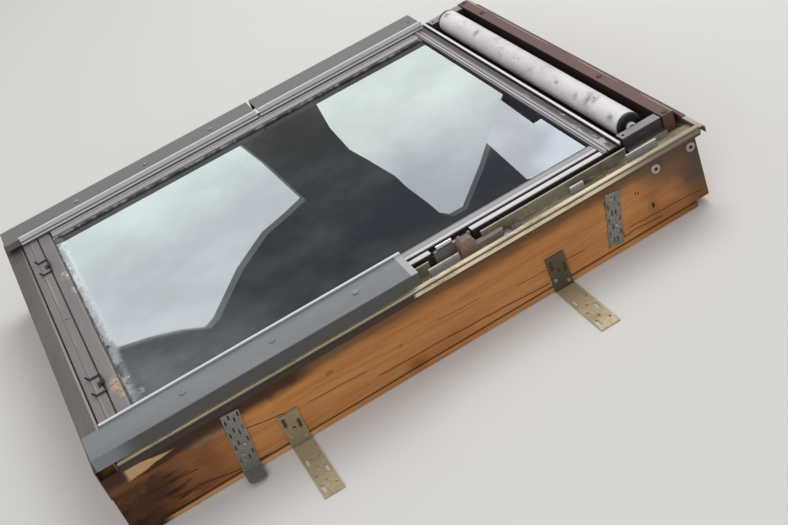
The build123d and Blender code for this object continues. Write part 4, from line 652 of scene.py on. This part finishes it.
def plate_marks(f, colour, run):
    y, z = f.axis("Y"), f.axis("Z")
    # Painted shade on the front face of the plate
    colour = f.blend(y.ramp(slope(969.3), slope(968.6)) * 0.92, colour, paint(46, 31, 27))
    # Painted highlight along the outer top edge
    edge = y.line(slope(987.4), 0.0016) * z.ramp(plate_top - 0.0010, plate_top - 0.0004)
    return f.blend(edge * run.ramp(0.3, 0.5) * 0.7, colour, paint(182, 162, 150))


def cladding_marks(f, colour, run):
    x, y, z = f.axis("X"), f.axis("Y"), f.axis("Z")
    # Painted highlight along the ridge, brighter towards the near end
    ridge_highlight = y.line(slope(26.2), 0.0026) * z.ramp(brow_top - 0.004, brow_top - 0.002)
    colour = f.blend(ridge_highlight * (x.ramp(-0.30, 0.20) * 0.6 + 0.2), colour, paint(176, 168, 162))
    shade = y.ramp(slope(20), slope(8)) * z.ramp(brow_top - 0.005, brow_top - 0.003)
    return f.blend(shade * 0.35 * run.ramp(0.3, 0.6), colour, paint(80, 73, 67))


head_edge = lacquer("head_trim_lacquer", paint(98, 88, 72), paint(124, 112, 94), 0.9, "X", 0.55,
                    head_lines)
plate = lacquer("head_plate_lacquer", paint(96, 62, 54), paint(122, 92, 82), 0.7, "X", 0.5,
                plate_marks)
cladding = lacquer("cladding_lacquer", paint(94, 87, 82), paint(122, 114, 107), 0.8, "X", 0.45,
                   cladding_marks)
wear(head_edge, "head_trim")
wear(plate, "head_plate")
wear(cladding, "sill_cladding")
print("tops of head trim, plate and brow:", round(head_top, 4), round(plate_top, 4), round(brow_top, 4))

# %% [markdown]
# ## Glass
# The unit is two panes over a dark well, so it looks like a dull mirror: it takes its colour from
# what it reflects. A clear glass shader would show a bright floor through it, so the panes are
# dark and nearly opaque instead, as painted shade for the well. Dust and dried drops break the
# mirror, most of all along the lower edge, and that needs roughness more than colour.

# %% Panes
# Dried drops on the weather pane: X, mm along the slope, size in mm
BLOBS = ((-0.163, 92, 14), (-0.074, 96, 16), (0.272, 103, 13), (0.225, 94, 14), (0.05, 93, 10))


def pane(name, dirt):
    f = Finish(name)
    x, y = f.axis("X"), f.axis("Y")
    film = f.noise(6.0, (1, 1, 1), 5.0, 0.6).ramp(0.35, 0.75)
    drops = f.specks(160.0).ramp(0.16, 0.06) * f.noise(30.0, (1, 1, 1), 2.0).ramp(0.5, 0.6)
    grit = f.noise(320.0, (1, 1, 1), 3.0, 0.7).ramp(0.55, 0.78)
    splash = f.noise(34.0, (1, 1, 1), 6.0, 0.68)
    # Dried dirt along the lower edge, with single drops above it
    rim = (y + (splash - 0.5) * 0.036).ramp(slope(106), slope(90)) * splash.ramp(0.38, 0.60) * 0.62
    ragged = f.noise(95.0, (1, 1, 1), 5.0, 0.7).ramp(0.44, 0.60)
    for place, row, size in BLOBS:
        blob = f.near(place, slope(row), 0, size / 3000, size / 1000, (1, 1.5, 0))
        rim = rim.most(blob * ragged * splash.ramp(0.42, 0.60) * 0.8)
    rim = rim.least(1.0) * dirt
    # A milky haze spreads from the near lower corner
    milk = f.near(0.29, slope(110), 0, 0.03, 0.21, (1, 0.8, 0)) * (film * 0.5 + 0.5) * dirt
    veil = ((film * 0.14 + grit * 0.12 + drops * 0.30) * dirt + milk * 0.60).least(0.7)
    # The dark base and the high Alpha are painted shade, standing for the shaded well under the glass
    tone = f.blend(veil, paint(20, 25, 30), paint(148, 151, 152))
    tone = f.blend(rim * 0.75, tone, paint(206, 206, 204))
    rough = (milk * 0.05 + rim * 0.45 + grit * 0.02 + 0.004).least(0.7)
    return f.dress(Base_Color=tone, Roughness=rough, Specular_IOR_Level=0.9, IOR=1.7,
                   Alpha=(veil + rim + 0.86).least(1.0))


wear(pane("outer_glass", 1.0), "outer_pane")
wear(pane("inner_glass", 0.2), "inner_pane")
print("panes dressed: 2, dried drops:", len(BLOBS))

# %% [markdown]
# ## Rubber and plastic
# Black rubber and white plastic both turn chalky outdoors, so one mask of pale blotches serves
# them. The seal is also smeared white along the lower and far edges of the glass, and the dark
# socket in the white bush of the roller is painted on it as shade.

# %% Rubber and plastic
ROLL_AT, ROLL_HEIGHT, ROLL_RADIUS = 929, 0.143, 0.0220    # mm along the slope, then metres
ROLL_ROW = slope(ROLL_AT)


def chalky(f):
    """Pale blotches, as a mask."""
    return f.noise(50.0, (1, 1, 1), 4.0, 0.6).ramp(0.45, 0.75)


def rubber(name, tone, grey):
    f = Finish(name)
    chalk = chalky(f)
    colour = f.blend(chalk * grey, tone, paint(120, 116, 108))
    smear = f.axis("Y").ramp(slope(98), slope(92)).most(f.axis("X").ramp(-0.290, -0.300))
    colour = f.blend(smear * chalk.ramp(-0.2, 0.5) * grey * 1.6, colour, paint(186, 182, 174))
    return f.dress(Base_Color=colour, Roughness=chalk * 0.2 + 0.55, Normal=f.bump(chalk, 0.0002, 0.3))


wear(rubber("seal_rubber", paint(34, 33, 34), 0.45),
     "outer_gasket", "inner_gasket", "glass_seal", "sill_gasket")
wear(rubber("cap_plastic", paint(22, 21, 22), 0.2), "roller_caps", "control_bar_caps")


def bush_plastic():
    """White, with a dark socket of painted shade in its middle."""
    f = Finish("white_plastic")
    chalk = chalky(f)
    # Painted shade for the socket in the middle of the bush
    socket = f.near(0, ROLL_ROW, ROLL_HEIGHT, 0.0046, 0.0054, (0, 1, 1))
    white = f.blend(chalk * 0.3, paint(232, 228, 224), paint(150, 146, 138))
    colour = f.blend(socket, white, paint(40, 38, 40))
    return f.dress(Base_Color=colour, Roughness=chalk * 0.2 + 0.45, Normal=f.bump(chalk, 0.0002, 0.3))


wear(bush_plastic(), "roller_bushes")
print("roller axis at Y =", round(ROLL_ROW, 4))

# %% [markdown]
# ## Bare metals
# Straps and brackets are galvanised steel: dull grey with flowery crystals a few millimetres
# wide. Cells of a Voronoi texture give the crystals. Screws, clips and the hinge are other bare
# or thinly coated metals, so one function with a few values serves them all.

# %% Metals
def metal(name, tone, tarnish, cells, rough, dirt, metallic, touch=None):
    """Cells per metre set the size of the crystals; dirt and metallic go from 0 to 1."""
    f = Finish(name)
    crystal = f.node("TexVoronoi", None, {"Vector": f.place(), "Scale": cells}, out=1)
    flower = f.node("SeparateColor", None, {"Color": crystal}, out=0)
    blot = f.noise(24.0, (1, 1, 1), 5.0, 0.65).ramp(0.40, 0.72)
    grit = f.noise(300.0, (1, 1, 1), 3.0, 0.7).ramp(0.48, 0.72)
    soil = (blot * 0.7 + grit * 0.4) * dirt
    colour = f.blend(flower * 0.35, tone, tarnish)
    colour = f.blend(soil.least(0.9), colour, paint(104, 94, 80))
    if touch:
        colour = touch(f, colour)
    return f.dress(Base_Color=colour, Roughness=(flower * 0.10 + soil * 0.4 + rough).least(0.9),
                   Metallic=(1 - soil * 0.8) * metallic, Normal=f.bump(grit * soil, 0.0002, 0.4))


LEG_FACE = 0.3925              # X just outside the legs of the angle brackets


def shaded_leg(f, colour):
    """Painted shade: the legs against the timber are darker than the feet, those further up darkest."""
    leg = abs(f.axis("X")).ramp(LEG_FACE + 0.0020, LEG_FACE)
    colour = f.blend(leg * 0.5, colour, paint(96, 80, 58))
    return f.blend(leg * f.axis("Y").ramp(0, 0.05) * 0.7, colour, paint(50, 38, 24))


ARM_START = 615                # mm along the slope


def grey_arm(f, colour):
    """The end of the hinge towards the head is bare grey, the rest is rusty."""
    arm = f.axis("Y").ramp(slope(ARM_START - 2), slope(ARM_START + 2))
    return f.blend(arm * 0.8, colour, paint(128, 122, 118))


wear(metal("galvanised_brackets", paint(202, 186, 152), paint(152, 138, 108), 260.0, 0.45, 0.55, 0.4,
           shaded_leg), "angle_brackets_lower", "angle_brackets_upper")
wear(metal("galvanised_straps", paint(142, 139, 134), paint(102, 98, 94), 260.0, 0.45, 0.65, 0.5),
     "straps_lower", "straps_upper")
wear(metal("screw_steel", paint(176, 172, 164), paint(132, 124, 112), 500.0, 0.35, 0.5, 0.8),
     "strap_nails", "corner_washers", "sash_screws", "hinge_base_screws", "hinge_leaf_screws")
wear(metal("rusty_screws", paint(108, 82, 72), paint(72, 54, 48), 500.0, 0.5, 0.6, 0.4),
     "head_plate_screws")
wear(metal("hook_wire", paint(66, 60, 60), paint(52, 46, 46), 500.0, 0.38, 0.3, 0.7),
     "blind_hooks", "hook_pads")
wear(metal("clip_aluminium", paint(202, 202, 198), paint(160, 156, 148), 400.0, 0.36, 0.6, 0.7),
     "cover_clips_upper", "cover_clips_lower", "control_bar", "roller_tube", "glass_spacer")
wear(metal("bright_spring", paint(228, 228, 226), paint(190, 188, 184), 700.0, 0.22, 0.2, 0.9),
     "hinge_springs")
wear(metal("hinge_casting", paint(160, 120, 106), paint(112, 86, 76), 180.0, 0.5, 0.7, 0.2, grey_arm),
     "hinge_base_right", "hinge_base_left")
wear(metal("zinc_plate", paint(176, 176, 172), paint(150, 148, 140), 300.0, 0.35, 0.3, 0.8),
     "hinge_leaf_right", "hinge_leaf_left", "lock_case", "latch_tongue", "strike_plate", "flap_lugs",
     "roller_axles")
print("materials so far:", len(bpy.data.materials))

# %% [markdown]
# ## Blind bracket
# The bracket is dark lacquered steel. Its top has been rubbed and bleached to a pale grey, while
# its sides stay almost black, so the finish looks at the piece's own normal.

# %% Bracket finish
bracket_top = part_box("roller_bracket_right")[1][2]


def bleached(f, colour, run):
    top = f.facing("Z").ramp(0.7, 0.95) * f.axis("Z").ramp(bracket_top - 0.004, bracket_top - 0.002)
    return f.blend(top * (run.ramp(0.25, 0.55) * 0.5 + 0.5), colour, paint(148, 141, 140))


bracket = lacquer("bracket_lacquer", paint(62, 55, 57), paint(92, 84, 82), 0.6, "Y", 0.45, bleached)
wear(bracket, "roller_bracket_right", "roller_bracket_left")
print("bracket top:", round(bracket_top, 4))

# %% [markdown]
# ## The rolled blind
# The blind is a woven screen cloth wound on a tube. A plain cylinder would do from afar, but a
# real roll is one long sheet: its free edge makes a step low on its back, its turns show at the
# ends, and it is dented where it was pressed. So a flat grid of cloth is made first, and then each
# of its points is carried round the tube on a spiral.

# %% A flat sheet of cloth
roll_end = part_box("blind_cloth")[1][0]     # half the width of the cloth
bpy.ops.object.select_all(action="DESELECT")
bpy.ops.mesh.primitive_grid_add(x_subdivisions=180, y_subdivisions=165, size=1)
roll = bpy.context.object
roll.name = "cloth_roll"
print("sheet points:", len(roll.data.vertices), "half length:", round(roll_end, 4))

# %% Wind it up, with a loose wave and dents
TURNS = 2.1                    # turns of cloth that are modelled
LAYER = 0.0008                 # how far one turn lies under the next
STEP = -2.2                    # where the free edge lies, in radians from the top
SKIN = 0.0002                  # keeps the outer turn inside the CAD roll
CLOTH = 0.0004                 # thickness of the cloth
# Each dent: X, radians from the top, size and depth in metres
DENTS = ((-0.229, 0.05, 0.010, 0.0012), (-0.166, 0.23, 0.013, 0.0014), (-0.075, -0.09, 0.016, 0.0013),
         (-0.018, 0.42, 0.018, 0.0016), (0.120, 0.60, 0.013, 0.0009), (0.182, 0.96, 0.012, 0.0012),
         (0.220, 0.32, 0.017, 0.0015), (0.288, 1.20, 0.012, 0.0011), (-0.300, 0.10, 0.016, 0.0009))
for vertex in roll.data.vertices:
    x, turn = vertex.co.x * 2 * roll_end, (vertex.co.y + 0.5) * TURNS * 2 * math.pi
    lean = (STEP + turn + math.pi) % (2 * math.pi) - math.pi
    wave = math.sin(x * 31 + 0.7) + math.sin(x * 74 + turn) * 0.6
    radius = ROLL_RADIUS - LAYER * turn / (2 * math.pi) - SKIN - abs(wave) * 0.00015
    for place, toward, size, depth in DENTS:
        round_way = (lean - toward) * ROLL_RADIUS / (size * 0.5)
        radius -= depth * math.exp(-((x - place) / size) ** 2 - round_way ** 2)
    vertex.co = (x, ROLL_ROW - math.sin(lean) * radius, ROLL_HEIGHT + math.cos(lean) * radius)
flat_length = 2 * math.pi * TURNS * (ROLL_RADIUS - SKIN - LAYER * TURNS / 2)
print("turns:", TURNS, "dents:", len(DENTS), "flat length:", round(flat_length, 3))

# %% Give the cloth its thickness
bpy.ops.object.mode_set(mode="EDIT")
bpy.ops.mesh.select_all(action="SELECT")
bpy.ops.mesh.normals_make_consistent(inside=False)
bpy.ops.object.mode_set(mode="OBJECT")
cloth = roll.modifiers.new("cloth", "SOLIDIFY")
cloth.thickness, cloth.offset = CLOTH, 0
bpy.ops.object.modifier_apply(modifier="cloth")
bpy.ops.object.shade_smooth_by_angle(angle=math.radians(50))
print("cloth roll faces:", len(roll.data.polygons))

# %% [markdown]
# The cloth's finish has the weave as a fine grid, a grey bloom of dirt, dark smudges at the
# dents, and painted shade on its underside and on the side towards the head plate. The weave
# follows the roll: one thread direction is along X, and the other is read from the angle round
# the tube.

# %% Cloth finish
# Each smudge: X, mm along the slope, size in mm
SMUDGES = ((-0.229, 928, 14), (-0.172, 924, 12), (-0.075, 929, 12), (-0.018, 920, 16), (0.120, 918, 8),
           (0.182, 914, 10), (0.222, 922, 22), (0.288, 912, 12), (-0.300, 926, 12))

ALONG = 5400.0                 # radians per metre along X, which puts a thread every 1.2 mm
ROUND = 118.0                  # threads round the roll, a whole number so that no seam shows


def blind_weave():
    f = Finish("blind_cloth_finish")
    x, y, z = f.axis("X"), f.axis("Y") - ROLL_ROW, f.axis("Z") - ROLL_HEIGHT
    angle = f.node("Math", {"operation": "ARCTAN2"}, {0: y, 1: z})
    warp = f.node("Math", {"operation": "SINE"}, {0: x * ALONG})
    weft = f.node("Math", {"operation": "SINE"}, {0: angle * ROUND})
    weave = (warp + weft) * 0.25 + 0.5
    cloud = f.noise(9.0, (0.6, 1, 1), 5.0, 0.6)
    grime = f.noise(46.0, (0.45, 1, 1), 6.0, 0.72)
    soil = cloud.ramp(0.42, 0.75) * 0.30 + grime.ramp(0.52, 0.72) * 0.30
    # Painted shade on the underside and on the side towards the head plate
    under = z.ramp(0.008, -0.010) * 0.6 + y.ramp(0.006, 0.019) * 0.4
    base = f.blend((soil * 1.2 + under * 0.8).least(0.9), paint(242, 236, 236), paint(132, 122, 121))
    ragged = f.noise(70.0, (0.7, 1, 1), 5.0, 0.7).ramp(0.42, 0.62)
    for place, row, size in SMUDGES:
        high = ROLL_HEIGHT + math.sqrt(ROLL_RADIUS ** 2 - ((row - ROLL_AT) / 1000) ** 2)
        smudge = f.near(place, slope(row), high, size / 4000, size / 1000)
        base = f.blend(smudge * ragged * 0.75, base, paint(112, 103, 102))
    base = f.blend(weave * 0.10, base, paint(176, 168, 164))
    base = f.blend(abs(x).ramp(roll_end - 0.004, roll_end - 0.001) * 0.35, base, paint(120, 112, 108))
    return f.dress(Base_Color=base, Roughness=0.8, Sheen_Weight=0.12,
                   Normal=f.bump(weave * 0.3 + cloud + grime * 0.5, 0.0010, 0.45))


roll.data.materials.append(blind_weave())
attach(roll, "roller")
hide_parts("blind_cloth")
print("smudges:", len(SMUDGES))

# %% [markdown]
# ## Floor and light
# The window lies on a plain pale floor. Two large soft lamps and a pale world light it evenly: a
# small hard lamp would put sharp shadows and hot spots on the trims, and hide their profiles.

# %% Stage
FLOOR = -0.0002                # a hair below the window, so that no two faces share a plane


def soft_lamp(name, place, aim, size, power, tint):
    data = bpy.data.lights.new(name, "AREA")
    data.shape, data.size, data.size_y = "RECTANGLE", size[0], size[1]
    data.energy, data.color = power, tint
    lamp = bpy.data.objects.new(name, data)
    bpy.context.collection.objects.link(lamp)
    lamp.location = place
    lamp.rotation_euler = (Vector(aim) - Vector(place)).to_track_quat("-Z", "Y").to_euler()


bpy.ops.object.select_all(action="DESELECT")
bpy.ops.mesh.primitive_plane_add(size=40, location=(0, 0, FLOOR))
floor = bpy.context.object
floor.name = "floor"
floor_paint = Finish("floor_paint")
floor_paint.dress(Base_Color=paint(226, 224, 220), Roughness=0.9, Specular_IOR_Level=0.1)
floor.data.materials.append(floor_paint.material)
world = bpy.data.worlds.new("studio")
bpy.context.scene.world = world
world.use_nodes = True
world.node_tree.nodes["Background"].inputs["Color"].default_value = (0.86, 0.88, 0.92, 1)
world.node_tree.nodes["Background"].inputs["Strength"].default_value = 0.55
soft_lamp("sky_lamp", (-1.2, 1.6, 3.2), (0, 0, 0.1), (2.6, 2.2), 70, (1.0, 0.98, 0.95))
soft_lamp("front_lamp", (3.2, -1.8, 2.0), (0, 0, 0.1), (2.2, 1.6), 34, (0.97, 0.98, 1.0))
print("floor and lamps set")

# %% [markdown]
# ## What the glass mirrors
# A pane shows its surroundings: here an open sky, pale and cloudy, with dark shapes in front. A
# studio stands white and black cards round the object for this. The cards here are seen by mirrors
# alone. They light nothing, cast no shadow and never show in the picture, so only glass and gloss
# change.

# %% Outlines of the mirror cards, as (y, z) on a plane across X
LEFT_SKY = ((-0.600, 1.600), (-0.084, 1.610), (0.345, 1.620), (0.433, 1.817), (0.524, 2.074),
            (0.418, 2.105), (0.291, 2.134), (0.109, 2.238), (-0.102, 2.414), (-0.156, 2.436),
            (-0.265, 2.381), (-0.403, 2.333), (-0.581, 2.288))
MIDDLE_SKY = ((0.770, 1.610), (1.380, 1.560), (1.700, 2.110), (1.592, 2.191), (1.416, 2.408),
              (1.256, 2.574), (1.179, 2.572), (1.133, 2.537), (1.095, 2.451), (1.029, 2.319),
              (0.992, 2.224), (0.899, 2.074), (0.838, 1.980), (0.792, 1.828))
RIGHT_SKY = ((1.690, 2.100), (2.080, 2.700), (1.794, 2.680), (1.629, 2.628), (1.489, 2.317),
             (1.540, 2.150))
DARK_NOTCH = ((1.665, 2.075), (1.815, 2.330), (1.742, 2.334), (1.620, 2.126))
DARK_SURROUND = ((-2.5, 0.9), (3.5, 0.9), (3.5, 4.2), (-2.5, 4.2))
print("outline points:", sum(len(o) for o in (LEFT_SKY, MIDDLE_SKY, RIGHT_SKY, DARK_NOTCH)))

# %% Mirror cards
CARDS_AT = -3.50               # X of the first card, past the far side of the window
SECOND_SHIFT = (0.026, 0.042)  # the inner pane's mirror image lies this far off in (y, z)
SECOND_SHARE = 0.22            # and is this bright beside the first


def card(name, outline, distance, near_tone, far_tone, fade, strength, shift=(0, 0)):
    """A glowing card on the plane x = distance; fade says along which axis its tone changes."""
    bpy.ops.object.select_all(action="DESELECT")
    bpy.ops.mesh.primitive_circle_add(vertices=len(outline), fill_type="NGON", radius=1)
    made = bpy.context.object
    made.name = name
    for vertex, (y, z) in zip(made.data.vertices, outline):
        vertex.co = (distance, y + shift[0], z + shift[1])
    f = Finish(name + "_glow")
    cloud = (f.noise(2.5, (1, 1, 1), 4.0, 0.5) - 0.5) * 0.5
    glow = f.blend((f.axis(fade[0]) + cloud).ramp(fade[1], fade[2]), near_tone, far_tone)
    f.dress(Base_Color=(0, 0, 0, 1), Specular_IOR_Level=0.0, Emission_Color=glow,
            Emission_Strength=strength)
    made.data.materials.append(f.material)
    made.visible_camera = made.visible_diffuse = False
    made.visible_transmission = made.visible_shadow = False


SKIES = (("left_sky", LEFT_SKY, paint(216, 230, 228), paint(204, 213, 217), ("Z", 1.65, 2.0), 5.0),
         ("middle_sky", MIDDLE_SKY, paint(226, 238, 235), paint(194, 201, 208), ("Z", 1.9, 2.3), 4.8),
         ("right_sky", RIGHT_SKY, paint(198, 203, 211), paint(226, 236, 246), ("Y", 1.66, 1.84), 5.4))
for row, (name, outline, near_tone, far_tone, fade, strength) in enumerate(SKIES):
    card(name, outline, CARDS_AT - 0.005 * row, near_tone, far_tone, fade, strength)
    # The inner pane mirrors the same sky again, shifted and dimmer, as a grey border
    card(name + "_again", outline, CARDS_AT - 0.03, near_tone, far_tone, fade,
         strength * SECOND_SHARE, SECOND_SHIFT)
card("dark_notch", DARK_NOTCH, CARDS_AT + 0.03, paint(60, 60, 62), paint(52, 50, 50),
     ("Y", 1.6, 1.8), 1.0)
card("dark_surround", DARK_SURROUND, CARDS_AT - 0.06, paint(118, 118, 112), paint(102, 109, 117),
     ("Z", 1.7, 2.3), 1.45)
print("mirror cards:", 2 * len(SKIES) + 2)

# %% [markdown]
# ## Camera
# The camera stands where the photograph was taken, beside the window, above it and turned on its
# own axis. Place, turn and lens were fitted together, because each of them alone can be traded
# for another: a longer lens from further off frames the window alike, but flattens it.

# %% Camera
camera = bpy.data.cameras.new("camera")
camera.lens, camera.sensor_width = 59.89, 36
eye = bpy.data.objects.new("camera", camera)
bpy.context.collection.objects.link(eye)
eye.location = (1.888, -0.32925, 1.181)
eye.rotation_euler = tuple(math.radians(v) for v in (54.8733, 19.4648, 64.7951))
bpy.context.scene.camera = eye
bpy.context.scene.view_settings.view_transform = "Standard"
print("camera set")
